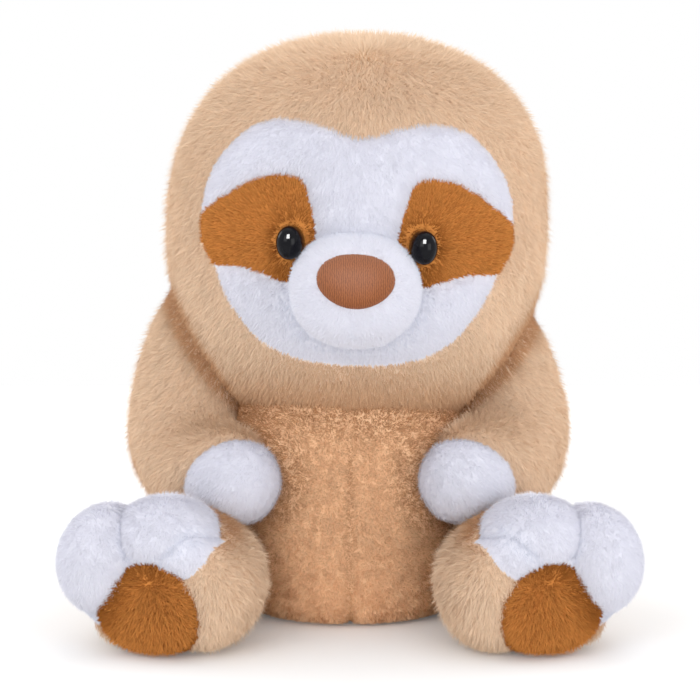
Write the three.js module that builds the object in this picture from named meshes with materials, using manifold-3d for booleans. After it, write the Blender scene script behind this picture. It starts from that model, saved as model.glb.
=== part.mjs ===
// Plush sloth, sitting: sewn plush panels over stuffing, with safety eyes and a pellet bag in the seat.
// Millimetres, +Z up, face towards -Y, its own left side at +X. The origin is the middle of the seat.
import * as THREE from 'three';
import { mergeVertices } from 'three/addons/utils/BufferGeometryUtils.js';
import Module from 'manifold-3d';

const wasm = await Module();
wasm.setup();

// Cloth and seams
const CLOTH = 5; // plush fabric, its backing and the lower half of its pile
const SEAM_GAP = 0.3; // between pieces that are sewn edge to edge
const FLOOR_CUT = 0.5; // how deep the seat and the legs are flattened by the floor
const OVERRUN = 60; // how far a cut runs past what it cuts

// Neck seam
const NECK_Z = 98;

// Head, an egg that leans a little to its left
const HEAD_WIDTH = 178;
const HEAD_DEPTH = 153;
const HEAD_Y = -4;
const HEAD_RISE = 80; // from the neck seam to the widest level
const HEAD_CROWN = 88; // from the widest level to the top
const HEAD_JAW = 92; // from the widest level to where the jaw would close
const HEAD_LEAN = 2.2; // degrees
const CROWN_POWER = 2.6;
const CROWN_SHIFT = 5; // how far the crown is stuffed over to the left
const JAW_POWER = 2;

// Face panels, outlines seen from the front
const MASK_HALF_WIDTH = 70.5;
const MASK_TOP = 53; // brow hump above the widest level
const MASK_BOTTOM = 56; // chin edge below the widest level
const MASK_SPLIT_DROP = 3; // where brow and cheek part, below the widest level
const PATCH_OUTER_X = 70.5;
const PATCH_INNER_X = 18.4;
const PATCH_TOP = 27.5; // above the widest level
const PATCH_BOTTOM = 19.5; // below it
const FACE_DEPTH = 30; // the face panels lie further forward than this

// Muzzle and nose
const MUZZLE_WIDTH = 58;
const MUZZLE_HEIGHT = 47;
const MUZZLE_REACH = 40; // from its own middle forwards
const MUZZLE_Y = -67;
const MUZZLE_DROP = 21; // below the widest level
const MUZZLE_POWER = 2.5;
const MUZZLE_SECTION_POWER = 2.7;
const NOSE_WIDTH = 32;
const NOSE_HEIGHT = 22.5;
const NOSE_THICKNESS = 4;
const NOSE_DROP = 15;
const NOSE_BEVEL = 1.6;

// Safety eyes
const EYE_X = 29.5;
const EYE_DROP = 1.5;
const EYE_WIDTH = 11.5;
const EYE_HEIGHT = 15;
const EYE_DOME = 6;
const EYE_RIM = 1; // the straight edge under the dome
const SHANK_RADIUS = 2;
const SHANK_LENGTH = 14;
const SHANK_CLEARANCE = 0.3;
const WASHER_RADIUS = 7.5;
const WASHER_THICKNESS = 2;
const WASHER_SEAT = 2.4; // from the cloth to the washer, which bears on the curve's rim

// Torso, an egg that is flattened where it sits
const TORSO_WIDTH = 116;
const TORSO_DEPTH = 118;
const TORSO_Y = -3;
const TORSO_WIDEST_Z = 41;
const CHEST_OVER_NECK = 29; // from the neck seam to where the chest would close
const TORSO_RISE_POWER = 3;
const TORSO_SEAT_POWER = 7;
const SIDE_SEAM_Y = 12;
const BASE_WIDTH = 88;
const BASE_DEPTH = 84;
const PELLET_TOP_Z = 27;

// Arms, hanging from under the head and bent forward so that the hands rest on the belly
const ARM_OUT = 73; // how far out the arm's middle line runs at the elbow
const ARM_REACH = 78; // how far forward it runs to the hand
const ARM_TOP_Z = 164; // where it starts, inside the head's outline
const ARM_ROOT_RADIUS = 24;
const ARM_ELBOW_RADIUS = 30.5;
const ARM_CUFF_RADIUS = 26;
const HAND_RADIUS = 20.5;
const ELBOW_SHARE = 0.45; // of the arm's length
const CUFF_SHARE = 0.69;
const WRIST_SHARE = 0.84; // where sleeve and hand are joined
const HAND_SHARE = 0.89;
const SHOULDER_X = 62;
const SHOULDER_Y = 4;
const SHOULDER_Z = 118;
const ARM_LIFT = 24; // degrees
const ARM_STEPS = 2;
const ARM_CLEARANCE = 0.9; // between an arm and the torso as the arm turns
const HEAD_CLEARANCE = 4.6; // from the arms, so that the head can turn between them
const HEAD_TURN = 12; // degrees

// Legs, stretched forward and outward, thinner behind the foot
const SOLE_OUT = 89; // how far out the leg's middle line runs at the sole
const SOLE_REACH = 119; // how far forward it runs there
const SOLE_Z = 30;
const LEG_HIP_RADIUS = 26;
const LEG_SHANK_RADIUS = 25;
const FOOT_HALF_WIDTH = 39.5;
const FOOT_HALF_HEIGHT = 30.5;
const SOLE_ROUND = 22; // length over which the foot rounds off
const SOLE_POWER = 3;
const HIP_X = 48;
const HIP_Y = -22;
const HIP_Z = 26;
const LEG_OUT = 14; // degrees
const LEG_STEPS = 2;
const LEG_CLEARANCE = 0.6; // between a leg and what it turns past
const SHANK_SHARE = 0.35; // of the leg's length
const FOOT_SHARE = 0.72;

// Toes: two soft lobes over the outer and upper side of each foot
const TOE_OUTER = { out: 106.5, forward: 92, up: 39, halfWidth: 18.5, halfLength: 29, halfHeight: 25 };
const TOE_INNER = { out: 81, forward: 93, up: 48.5, halfWidth: 26, halfLength: 28, halfHeight: 15.5 };
const TOE_PANEL_MARGIN = 1.5; // how far the white plush runs past each lobe
const TOE_PANEL_LENGTH = 62; // from the sole back along the leg
const TOE_TURN = 19; // degrees, as the leg points

// Sole pad, an outline across the leg's end
const PAD_WIDTH = 47;
const PAD_HEIGHT = 43;
const PAD_Z = 22;
const PAD_DEPTH = 20;

// Facets
const HEAD_SIDES = 20;
const HEAD_RINGS = 12;
const HEAD_CORE_SIDES = 14;
const HEAD_CORE_RINGS = 8;
const MUZZLE_SIDES = 16;
const MUZZLE_RINGS = 12;
const MUZZLE_CORE_SIDES = 10;
const MUZZLE_CORE_RINGS = 6;
const TORSO_SIDES = 18;
const TORSO_RINGS = 10;
const PRISM_SIDES = 12;
const TORSO_CORE_SIDES = 14;
const TORSO_CORE_RINGS = 8;
const LIMB_SIDES = 12;
const LIMB_CORE_SIDES = 8;
const LIMB_CAP_RINGS = 3;
const LIMB_RINGS = 5;
const TOE_SIDES = 10;
const TOE_RINGS = 5;
const EYE_SIDES = 14;
const EYE_RINGS = 4;
const CLEAR_SIDES = 14;
const CLEAR_RINGS = 7;
const OUTLINE_POINTS = 20;
const PAD_POINTS = 14;
const NOSE_CURVE_POINTS = 4;

// Colours as they look in daylight
const PALETTE = {
  tan: { color: 0xd8b28c, roughness: 0.95 },
  belly: { color: 0xcb9f74, roughness: 0.95 },
  white: { color: 0xf1eef2, roughness: 0.95 },
  brown: { color: 0xb3733b, roughness: 0.95 },
  nose: { color: 0xa8714f, roughness: 0.85 },
  eye: { color: 0x0d0d10, roughness: 0.12 },
  washer: { color: 0xe4e2dc, roughness: 0.5 },
  stuffing: { color: 0xf4f4f2, roughness: 1 },
  pellets: { color: 0xe6e0d2, roughness: 1 },
};

const left = 1;
const right = -1;

// Solids and cuts

function solidOf(geometry) {
  const bare = geometry.clone();
  bare.deleteAttribute('normal');
  bare.deleteAttribute('uv');
  const merged = mergeVertices(bare);
  return new wasm.Manifold(new wasm.Mesh({
    numProp: 3,
    vertProperties: new Float32Array(merged.attributes.position.array),
    triVerts: new Uint32Array(merged.index.array),
  }));
}

function geometryOf(solid) {
  const mesh = solid.getMesh();
  const geometry = new THREE.BufferGeometry();
  const width = mesh.numProp;
  const positions = [];
  for (let i = 0; i < mesh.vertProperties.length; i += width) {
    positions.push(mesh.vertProperties[i], mesh.vertProperties[i + 1], mesh.vertProperties[i + 2]);
  }
  geometry.setAttribute('position', new THREE.Float32BufferAttribute(positions, 3));
  geometry.setIndex(Array.from(mesh.triVerts));
  geometry.computeVertexNormals();
  return geometry;
}

function minus(solid, ...cutters) {
  return cutters.reduce((rest, cutter) => rest.subtract(cutter), solid);
}

function joined(solids) {
  return solids.reduce((all, solid) => all.add(solid));
}

// A block between two corners
function block(low, high) {
  const geometry = new THREE.BoxGeometry(high[0] - low[0], high[1] - low[1], high[2] - low[2]);
  geometry.translate((low[0] + high[0]) / 2, (low[1] + high[1]) / 2, (low[2] + high[2]) / 2);
  return solidOf(geometry);
}

// The reach of every straight cut, taken from the whole figure
const REACH = HEAD_WIDTH + OVERRUN;

function above(z) {
  return block([-REACH, -REACH, z], [REACH, REACH, z + REACH * 2]);
}

function below(z) {
  return block([-REACH, -REACH, z - REACH * 2], [REACH, REACH, z]);
}

function beside(x, side) {
  const far = x + side * REACH;
  return block([Math.min(x, far), -REACH, -REACH], [Math.max(x, far), REACH, REACH * 2]);
}

function behind(y) {
  return block([-REACH, y, -REACH], [REACH, y + REACH, REACH * 2]);
}

function inFrontOf(y) {
  return block([-REACH, y - REACH, -REACH], [REACH, y, REACH * 2]);
}

// Everything past a plane through a point
function past(point, direction) {
  const geometry = new THREE.BoxGeometry(REACH, REACH, REACH);
  geometry.translate(0, 0, REACH / 2);
  const turn = new THREE.Quaternion().setFromUnitVectors(new THREE.Vector3(0, 0, 1), direction);
  geometry.applyQuaternion(turn);
  geometry.translate(point.x, point.y, point.z);
  return solidOf(geometry);
}

// A place on the toy's own left or right side
function onSide(side, x, y, z) {
  return new THREE.Vector3(side * x, y, z);
}

// Rings of points closed by a point at each end
function ringsGeometry(rings, firstPoint, lastPoint) {
  const sides = rings[0].length;
  const points = [firstPoint, ...rings.flat(), lastPoint];
  const lastIndex = points.length - 1;
  const at = (ring, side) => 1 + ring * sides + (side % sides);
  const index = [];
  for (let side = 0; side < sides; side += 1) {
    index.push(0, at(0, side + 1), at(0, side));
    for (let ring = 0; ring < rings.length - 1; ring += 1) {
      index.push(at(ring, side), at(ring, side + 1), at(ring + 1, side + 1));
      index.push(at(ring, side), at(ring + 1, side + 1), at(ring + 1, side));
    }
    index.push(lastIndex, at(rings.length - 1, side), at(rings.length - 1, side + 1));
  }
  const geometry = new THREE.BufferGeometry();
  geometry.setAttribute('position', new THREE.Float32BufferAttribute(points.flatMap((p) => p.toArray()), 3));
  geometry.setIndex(index);
  return geometry;
}

function powered(value, power) {
  return Math.sign(value) * Math.abs(value) ** (2 / power);
}

// An egg about its own middle: swells from its lower pole to its widest level and tapers to its upper pole,
// which may be shifted sideways
function eggGeometry(size, sides, ringCount) {
  const { halfWidth, halfDepth, up, down, upPower, downPower, sectionPower = 2, upShift = 0 } = size;
  const rings = [];
  for (let ring = 1; ring < ringCount; ring += 1) {
    const latitude = Math.PI * (ring / ringCount - 1 / 2);
    const isUpper = latitude > 0;
    const power = isUpper ? upPower : downPower;
    const spread = powered(Math.cos(latitude), power);
    const z = (isUpper ? up : down) * powered(Math.sin(latitude), power);
    const shift = isUpper ? upShift * (z / up) ** 2 : 0;
    rings.push(Array.from({ length: sides }, (_, side) => {
      const angle = (2 * Math.PI * side) / sides;
      const x = shift + halfWidth * spread * powered(Math.cos(angle), sectionPower);
      const y = halfDepth * spread * powered(Math.sin(angle), sectionPower);
      return new THREE.Vector3(x, y, z);
    }));
  }
  return ringsGeometry(rings, new THREE.Vector3(0, 0, -down), new THREE.Vector3(upShift, 0, up));
}

function grownEgg(size, grow) {
  return {
    ...size,
    halfWidth: size.halfWidth + grow,
    halfDepth: size.halfDepth + grow,
    up: size.up + grow,
    down: size.down + grow,
  };
}

// A smooth value between stations of [share of the length, value]
function between(stations, share) {
  const next = stations.findIndex(([at]) => at >= share);
  if (next <= 0) {
    return next === 0 ? stations[0][1] : stations[stations.length - 1][1];
  }
  const [fromShare, fromValue] = stations[next - 1];
  const [toShare, toValue] = stations[next];
  const t = THREE.MathUtils.smoothstep(share, fromShare, toShare);
  return THREE.MathUtils.lerp(fromValue, toValue, t);
}

// A limb: a tube round a curved spine that swells, tapers and rounds off at both ends
function limbGeometry({ spine, widths, heights, sideways, rootRound, tipRound, tipPower }, grow, sides = LIMB_SIDES) {
  const curve = new THREE.CatmullRomCurve3(spine, false, 'centripetal');
  const length = curve.getLength();
  const from = -grow;
  const to = length + grow;
  const root = rootRound + grow;
  const tip = tipRound + grow;
  const stops = [];
  for (let i = 1; i <= LIMB_CAP_RINGS; i += 1) {
    const angle = (Math.PI / 2) * (i / LIMB_CAP_RINGS);
    stops.push([from + root * (1 - Math.cos(angle)), Math.sin(angle)]);
  }
  for (let i = 1; i < LIMB_RINGS; i += 1) {
    stops.push([THREE.MathUtils.lerp(from + root, to - tip, i / LIMB_RINGS), 1]);
  }
  for (let i = LIMB_CAP_RINGS; i >= 1; i -= 1) {
    const angle = (Math.PI / 2) * (i / LIMB_CAP_RINGS);
    stops.push([to - tip * (1 - powered(Math.cos(angle), tipPower)), powered(Math.sin(angle), tipPower)]);
  }
  const place = (distance) => {
    const share = THREE.MathUtils.clamp(distance / length, 0, 1);
    const tangent = curve.getTangentAt(share);
    const point = curve.getPointAt(share).addScaledVector(tangent, distance - share * length);
    return { share, tangent, point };
  };
  const rings = stops.map(([distance, round]) => {
    const { share, tangent, point } = place(distance);
    const across = sideways.clone().addScaledVector(tangent, -sideways.dot(tangent)).normalize();
    const upward = tangent.clone().cross(across);
    const width = (between(widths, share) + grow) * round;
    const height = (between(heights, share) + grow) * round;
    return Array.from({ length: sides }, (_, side) => {
      const angle = (2 * Math.PI * side) / sides;
      return point.clone()
        .addScaledVector(across, width * Math.cos(angle))
        .addScaledVector(upward, height * Math.sin(angle));
    });
  });
  return ringsGeometry(rings, place(from).point, place(to).point);
}

// A closed outline drawn smoothly through its points
function smoothShape(points, count = OUTLINE_POINTS) {
  const curve = new THREE.CatmullRomCurve3(points.map(([x, z]) => new THREE.Vector3(x, z, 0)), true, 'centripetal');
  const outline = curve.getSpacedPoints(count).slice(0, -1);
  return new THREE.Shape(outline.map((p) => new THREE.Vector2(p.x, p.y)));
}

// Pushes a closed outline outwards, for the seam gap round a panel
function grownOutline(points, grow) {
  const middle = points.reduce(([x, z], p) => [x + p[0] / points.length, z + p[1] / points.length], [0, 0]);
  return points.map(([x, z]) => {
    const away = new THREE.Vector2(x - middle[0], z - middle[1]);
    away.setLength(away.length() + grow);
    return [middle[0] + away.x, middle[1] + away.y];
  });
}

// Head

const headSize = {
  halfWidth: HEAD_WIDTH / 2,
  halfDepth: HEAD_DEPTH / 2,
  up: HEAD_CROWN,
  down: HEAD_JAW,
  upPower: CROWN_POWER,
  downPower: JAW_POWER,
  upShift: CROWN_SHIFT,
};

// Puts what was made round the head's middle, face forward, in its leaning place on the neck
function placeOnHead(geometry) {
  geometry.translate(0, 0, HEAD_RISE);
  geometry.rotateY(THREE.MathUtils.degToRad(HEAD_LEAN));
  geometry.translate(0, HEAD_Y, NECK_Z);
  return geometry;
}

function headSolid(grow, sides = HEAD_SIDES, rings = HEAD_RINGS) {
  return solidOf(placeOnHead(eggGeometry(grownEgg(headSize, grow), sides, rings)));
}

function headCore(grow) {
  return headSolid(grow, HEAD_CORE_SIDES, HEAD_CORE_RINGS);
}

// A prism through the face whose outline is given from the head's middle
function facePrism(points) {
  const geometry = new THREE.ExtrudeGeometry(smoothShape(points), { depth: REACH, bevelEnabled: false });
  geometry.rotateX(Math.PI / 2);
  geometry.translate(0, -FACE_DEPTH, 0);
  return solidOf(placeOnHead(geometry));
}

// How far forward the head's surface lies at a place on the face, and which way it faces there
function faceAt(x, z) {
  const height = z > 0 ? headSize.up : headSize.down;
  const power = z > 0 ? headSize.upPower : headSize.downPower;
  const level = (1 - Math.abs(z / height) ** power) ** (1 / power);
  const y = -headSize.halfDepth * Math.sqrt(level ** 2 - (x / headSize.halfWidth) ** 2);
  const facing = new THREE.Vector3(
    x / headSize.halfWidth ** 2,
    y / headSize.halfDepth ** 2,
    (Math.sign(z) * Math.abs(z / height) ** (power - 1) * level ** (2 - power)) / height,
  ).normalize();
  return { point: new THREE.Vector3(x, y, z), facing };
}

// The white mask's left half, from the dip of the brow down to the chin
const MASK_SHARES = [
  [0, 0.87], [0.24, 0.955], [0.46, 1], [0.65, 0.945], [0.8, 0.79], [0.92, 0.58], [0.985, 0.34], [1, 0.1],
  [0.99, -0.08], [0.9, -0.28], [0.84, -0.45], [0.76, -0.61], [0.6, -0.83], [0.35, -0.965], [0, -1],
];

// The brown patch round the left eye, from its inner top corner outwards and back under the eye
const PATCH_SHARES = [
  [0.06, 0.6], [0.12, 0.9], [0.22, 1], [0.42, 0.98], [0.62, 0.82], [0.82, 0.56], [0.98, 0.3], [1.05, 0.02],
  [1, -0.38], [0.88, -0.72], [0.62, -0.72], [0.42, -0.84], [0.24, -1], [0.1, -0.8], [0.02, -0.3], [0, 0.1],
];

function maskOutline() {
  const half = MASK_SHARES.map(([x, z]) => [x * MASK_HALF_WIDTH, z * (z > 0 ? MASK_TOP : MASK_BOTTOM)]);
  const otherHalf = half.slice(1, -1).reverse().map(([x, z]) => [-x, z]);
  return [...half, ...otherHalf].reverse();
}

function patchOutline(side) {
  const span = PATCH_OUTER_X - PATCH_INNER_X;
  const points = PATCH_SHARES.map(([x, z]) => [
    side * (PATCH_INNER_X + x * span),
    z * (z > 0 ? PATCH_TOP : PATCH_BOTTOM),
  ]);
  return side === left ? points.reverse() : points;
}

const muzzleSize = {
  halfWidth: MUZZLE_WIDTH / 2,
  halfDepth: MUZZLE_HEIGHT / 2,
  up: MUZZLE_REACH,
  down: MUZZLE_REACH,
  upPower: MUZZLE_POWER,
  downPower: MUZZLE_POWER,
  sectionPower: MUZZLE_SECTION_POWER,
};

// The muzzle's pole points forwards
function muzzleSolid(grow, sides = MUZZLE_SIDES, rings = MUZZLE_RINGS) {
  const geometry = eggGeometry(grownEgg(muzzleSize, grow), sides, rings);
  geometry.rotateX(Math.PI / 2);
  geometry.translate(0, MUZZLE_Y - HEAD_Y, -MUZZLE_DROP);
  return solidOf(placeOnHead(geometry));
}

function muzzleCore(grow) {
  return muzzleSolid(grow, MUZZLE_CORE_SIDES, MUZZLE_CORE_RINGS);
}

// The nose's right half from its top to its bottom, in curves of [handle, handle, end], as shares of its half sizes
const NOSE_CURVE_SHARES = [
  [[0.7, 1], [1, 0.75], [1, 0.12]],
  [[1, -0.5], [0.42, -1], [0, -1]],
];

// The nose's outline: a wide oval that draws to a soft point below
function noseShape(inset) {
  const halfWidth = NOSE_WIDTH / 2 - inset;
  const halfHeight = NOSE_HEIGHT / 2 - inset;
  const at = ([x, z], side) => [side * x * halfWidth, z * halfHeight];
  const shape = new THREE.Shape();
  shape.moveTo(0, halfHeight);
  for (const [first, second, end] of NOSE_CURVE_SHARES) {
    shape.bezierCurveTo(...at(first, right), ...at(second, right), ...at(end, right));
  }
  const starts = [NOSE_CURVE_SHARES[0][2], [0, 1]];
  for (const [i, [first, second]] of [...NOSE_CURVE_SHARES].reverse().entries()) {
    shape.bezierCurveTo(...at(second, left), ...at(first, left), ...at(starts[i], left));
  }
  return shape;
}

// A prism of the nose's outline, long enough to pass through the muzzle
function nosePrism(inset) {
  const settings = { depth: MUZZLE_REACH + OVERRUN, bevelEnabled: false, curveSegments: NOSE_CURVE_POINTS };
  const geometry = new THREE.ExtrudeGeometry(noseShape(inset), settings);
  geometry.rotateX(Math.PI / 2);
  geometry.translate(0, MUZZLE_Y - HEAD_Y, -NOSE_DROP);
  return solidOf(placeOnHead(geometry));
}

function noseSolid() {
  const crown = nosePrism(NOSE_BEVEL).intersect(muzzleSolid(NOSE_THICKNESS));
  const edge = nosePrism(0).intersect(muzzleSolid(NOSE_THICKNESS - NOSE_BEVEL));
  return minus(crown.add(edge), muzzleSolid(SEAM_GAP));
}

// An eye part turned about its own axis, then set on the face pointing outwards
function onEyeAxis(profile, side, widthShare) {
  const geometry = new THREE.LatheGeometry(profile.map(([r, h]) => new THREE.Vector2(r, h)), EYE_SIDES);
  geometry.scale(widthShare, 1, 1);
  const { point, facing } = faceAt(side * EYE_X, -EYE_DROP);
  const turn = new THREE.Quaternion().setFromUnitVectors(new THREE.Vector3(0, 1, 0), facing);
  geometry.applyQuaternion(turn);
  geometry.translate(point.x, point.y, point.z);
  return solidOf(placeOnHead(geometry));
}

function eyeSolid(side) {
  const radius = EYE_HEIGHT / 2;
  const dome = Array.from({ length: EYE_RINGS + 1 }, (_, i) => {
    const angle = (Math.PI / 2) * (i / EYE_RINGS);
    return [radius * Math.cos(angle), SEAM_GAP + EYE_RIM + EYE_DOME * Math.sin(angle)];
  });
  dome[EYE_RINGS][0] = 0;
  const shank = [[0, -SHANK_LENGTH], [SHANK_RADIUS, -SHANK_LENGTH], [SHANK_RADIUS, EYE_RIM / 2]];
  const profile = [...shank, [radius, EYE_RIM / 2], ...dome];
  return onEyeAxis(profile, side, EYE_WIDTH / EYE_HEIGHT);
}

function washerSolid(side) {
  const inner = SHANK_RADIUS + SHANK_CLEARANCE;
  const top = -CLOTH - WASHER_SEAT;
  const low = top - WASHER_THICKNESS;
  const profile = [[inner, low], [WASHER_RADIUS, low], [WASHER_RADIUS, top], [inner, top], [inner, low]];
  return onEyeAxis(profile, side, 1);
}

function eyeHole(side, radius, from, to) {
  return onEyeAxis([[0, from], [radius, from], [radius, to], [0, to]], side, 1);
}

function headParts() {
  const neckCut = below(NECK_Z + SEAM_GAP / 2);
  const outer = headSolid(0);
  const inner = headCore(-CLOTH);
  const shell = minus(outer, inner, neckCut);
  const muzzleHole = muzzleSolid(SEAM_GAP);
  const parts = {};

  const patches = [left, right].map((side) => facePrism(patchOutline(side)));
  const patchHoles = [left, right].map((side) => facePrism(grownOutline(patchOutline(side), SEAM_GAP)));
  const mask = facePrism(maskOutline());
  const maskHole = facePrism(grownOutline(maskOutline(), SEAM_GAP));
  const split = NECK_Z + HEAD_RISE - MASK_SPLIT_DROP;
  const white = minus(shell.intersect(mask), ...patchHoles, muzzleHole);
  parts.head_cover = [minus(shell, maskHole, muzzleHole), 'tan'];
  parts.brow_panel = [white.intersect(above(split)), 'white'];
  parts.cheek_panel = [white.intersect(below(split)), 'white'];

  parts.muzzle = [minus(muzzleSolid(0), muzzleCore(-CLOTH), inner), 'white'];
  parts.nose = [noseSolid(), 'nose'];

  let stuffing = minus(headCore(-CLOTH - SEAM_GAP).add(muzzleCore(-CLOTH - SEAM_GAP)), neckCut);
  for (const [side, word, patch] of [[left, 'left', patches[0]], [right, 'right', patches[1]]]) {
    const hole = eyeHole(side, SHANK_RADIUS + SHANK_CLEARANCE, -CLOTH - OVERRUN, OVERRUN);
    parts[`eye_patch_${word}`] = [minus(shell.intersect(patch).intersect(mask), muzzleHole, hole), 'brown'];
    parts[`eye_${word}`] = [eyeSolid(side), 'eye'];
    parts[`eye_washer_${word}`] = [washerSolid(side).intersect(headCore(-CLOTH - SEAM_GAP)), 'washer'];
    stuffing = minus(
      stuffing,
      eyeHole(side, WASHER_RADIUS + SHANK_CLEARANCE, -CLOTH - WASHER_SEAT - WASHER_THICKNESS - SEAM_GAP, OVERRUN),
      eyeHole(side, SHANK_RADIUS + SHANK_CLEARANCE, -SHANK_LENGTH - SEAM_GAP, OVERRUN),
    );
  }
  parts.head_stuffing = [stuffing, 'stuffing'];
  return parts;
}

// Torso

const torsoSize = {
  halfWidth: TORSO_WIDTH / 2,
  halfDepth: TORSO_DEPTH / 2,
  up: NECK_Z - TORSO_WIDEST_Z + CHEST_OVER_NECK,
  down: TORSO_WIDEST_Z + FLOOR_CUT,
  upPower: TORSO_RISE_POWER,
  downPower: TORSO_SEAT_POWER,
};

function torsoSolid(grow, sides = TORSO_SIDES, rings = TORSO_RINGS) {
  const geometry = eggGeometry(grownEgg(torsoSize, grow), sides, rings);
  geometry.translate(0, TORSO_Y, TORSO_WIDEST_Z);
  return solidOf(geometry);
}

function torsoCore(grow) {
  return torsoSolid(grow, TORSO_CORE_SIDES, TORSO_CORE_RINGS);
}

// An upright oval column through the seat
function seatColumn(grow) {
  const geometry = new THREE.CylinderGeometry(1, 1, OVERRUN, TORSO_SIDES);
  geometry.rotateX(Math.PI / 2);
  geometry.scale(BASE_WIDTH / 2 + grow, BASE_DEPTH / 2 + grow, 1);
  geometry.translate(0, TORSO_Y, 0);
  return solidOf(geometry);
}

function torsoParts() {
  const neckCut = above(NECK_Z - SEAM_GAP / 2);
  const floorCut = below(0);
  const shell = minus(torsoSolid(0), torsoCore(-CLOTH), neckCut, floorCut);
  const sides = minus(shell, seatColumn(SEAM_GAP));
  const core = minus(torsoCore(-CLOTH - SEAM_GAP), neckCut);
  const parts = {};
  for (const [side, word] of [[left, 'left'], [right, 'right']]) {
    const half = sides.intersect(beside((side * SEAM_GAP) / 2, side));
    parts[`belly_panel_${word}`] = [half.intersect(inFrontOf(SIDE_SEAM_Y - SEAM_GAP / 2)), 'belly'];
    parts[`back_panel_${word}`] = [half.intersect(behind(SIDE_SEAM_Y + SEAM_GAP / 2)), 'tan'];
  }
  parts.base_panel = [shell.intersect(seatColumn(0)).intersect(below(TORSO_WIDEST_Z)), 'tan'];
  parts.torso_stuffing = [core.intersect(above(PELLET_TOP_Z + SEAM_GAP)), 'stuffing'];
  parts.seat_pellet_bag = [core.intersect(below(PELLET_TOP_Z)), 'pellets'];
  return parts;
}

// What a turning limb must stay clear of: the still form, turned back through the limb's whole range
function sweptPast(solid, pivot, axis, fromDegrees, toDegrees, steps) {
  const copies = Array.from({ length: steps + 1 }, (_, i) => {
    const angle = -THREE.MathUtils.lerp(fromDegrees, toDegrees, i / steps);
    const turn = new THREE.Quaternion().setFromAxisAngle(axis, THREE.MathUtils.degToRad(angle));
    const matrix = new THREE.Matrix4().compose(new THREE.Vector3(), turn, new THREE.Vector3(1, 1, 1));
    const there = new THREE.Matrix4().makeTranslation(pivot.x, pivot.y, pivot.z);
    const back = new THREE.Matrix4().makeTranslation(-pivot.x, -pivot.y, -pivot.z);
    return solid.transform(there.multiply(matrix).multiply(back).toArray());
  });
  return joined(copies);
}

// Turned forms that a moving limb is cut by

function armSweep(side, solid) {
  const shoulder = onSide(side, SHOULDER_X, SHOULDER_Y, SHOULDER_Z);
  return sweptPast(solid, shoulder, new THREE.Vector3(-1, 0, 0), 0, ARM_LIFT, ARM_STEPS);
}

function headSweep(side, grow) {
  const neck = new THREE.Vector3(0, HEAD_Y, NECK_Z);
  const head = headSolid(HEAD_CLEARANCE + grow, CLEAR_SIDES, CLEAR_RINGS);
  return armSweep(side, sweptPast(head, neck, new THREE.Vector3(0, 0, side), 0, -HEAD_TURN, 1));
}

// A leg as it swings out under the arm
function legSwing(side, grow) {
  const hip = onSide(side, HIP_X, HIP_Y, HIP_Z);
  const form = legForm(side, LEG_CLEARANCE + grow);
  return sweptPast(form, hip, new THREE.Vector3(0, 0, side), 0, -LEG_OUT, LEG_STEPS);
}

function legSweep(side) {
  const hip = onSide(side, HIP_X, HIP_Y, HIP_Z);
  return sweptPast(torsoSolid(LEG_CLEARANCE), hip, new THREE.Vector3(0, 0, side), 0, LEG_OUT, LEG_STEPS);
}

// Arms

// The arm's middle line from the shoulder to the hand: out, forward and up
const ARM_SPINE_SHARES = [
  [0.75, 0, 1], [0.825, 0.02, 0.835], [0.935, 0.04, 0.7], [1, 0.07, 0.57], [1.03, 0.2, 0.47],
  [0.95, 0.42, 0.43], [0.765, 0.68, 0.425], [0.545, 0.98, 0.393],
];

function armForm(side) {
  const radii = [
    [0, ARM_ROOT_RADIUS],
    [ELBOW_SHARE, ARM_ELBOW_RADIUS],
    [CUFF_SHARE, ARM_CUFF_RADIUS],
    [HAND_SHARE, HAND_RADIUS],
  ];
  return {
    spine: ARM_SPINE_SHARES.map(([out, forward, up]) => (
      onSide(side, out * ARM_OUT, -forward * ARM_REACH, up * ARM_TOP_Z)
    )),
    widths: radii,
    heights: radii,
    sideways: new THREE.Vector3(1, 0, 0),
    rootRound: ARM_ROOT_RADIUS,
    tipRound: HAND_RADIUS,
    tipPower: 2,
  };
}

function armParts(side, word) {
  const form = armForm(side);
  const curve = new THREE.CatmullRomCurve3(form.spine, false, 'centripetal');
  const wrist = curve.getPointAt(WRIST_SHARE);
  const along = curve.getTangentAt(WRIST_SHARE);
  const torso = armSweep(side, torsoSolid(ARM_CLEARANCE));
  const clear = joined([torso, headSweep(side, 0), legSwing(side, 0)]);
  const within = (grow) => minus(
    solidOf(limbGeometry(form, grow, LIMB_CORE_SIDES)),
    headSweep(side, -grow),
    legSwing(side, -grow),
  );
  const shell = minus(solidOf(limbGeometry(form, 0)), within(-CLOTH), clear);
  const sleeveEnd = wrist.clone().addScaledVector(along, -SEAM_GAP / 2);
  const handStart = wrist.clone().addScaledVector(along, SEAM_GAP / 2);
  return {
    [`sleeve_${word}`]: [minus(shell, past(sleeveEnd, along)), 'tan'],
    [`hand_${word}`]: [shell.intersect(past(handStart, along)), 'white'],
    [`arm_stuffing_${word}`]: [minus(within(-CLOTH - SEAM_GAP), torso), 'stuffing'],
  };
}

// Legs

// The leg's middle line from the hip to the sole: out, forward and up
const LEG_SPINE_SHARES = [[0.62, 0.05, 0.85], [0.71, 0.32, 0.82], [0.83, 0.62, 0.92], [1, 1, 1]];

function toeSolid(side, toe, grow) {
  const size = {
    halfWidth: toe.halfWidth,
    halfDepth: toe.halfLength,
    up: toe.halfHeight,
    down: toe.halfHeight,
    upPower: 2,
    downPower: 2,
  };
  const geometry = eggGeometry(grownEgg(size, grow), TOE_SIDES, TOE_RINGS);
  geometry.rotateZ(side * THREE.MathUtils.degToRad(TOE_TURN));
  geometry.translate(side * toe.out, -toe.forward, toe.up);
  return solidOf(geometry);
}

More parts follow.
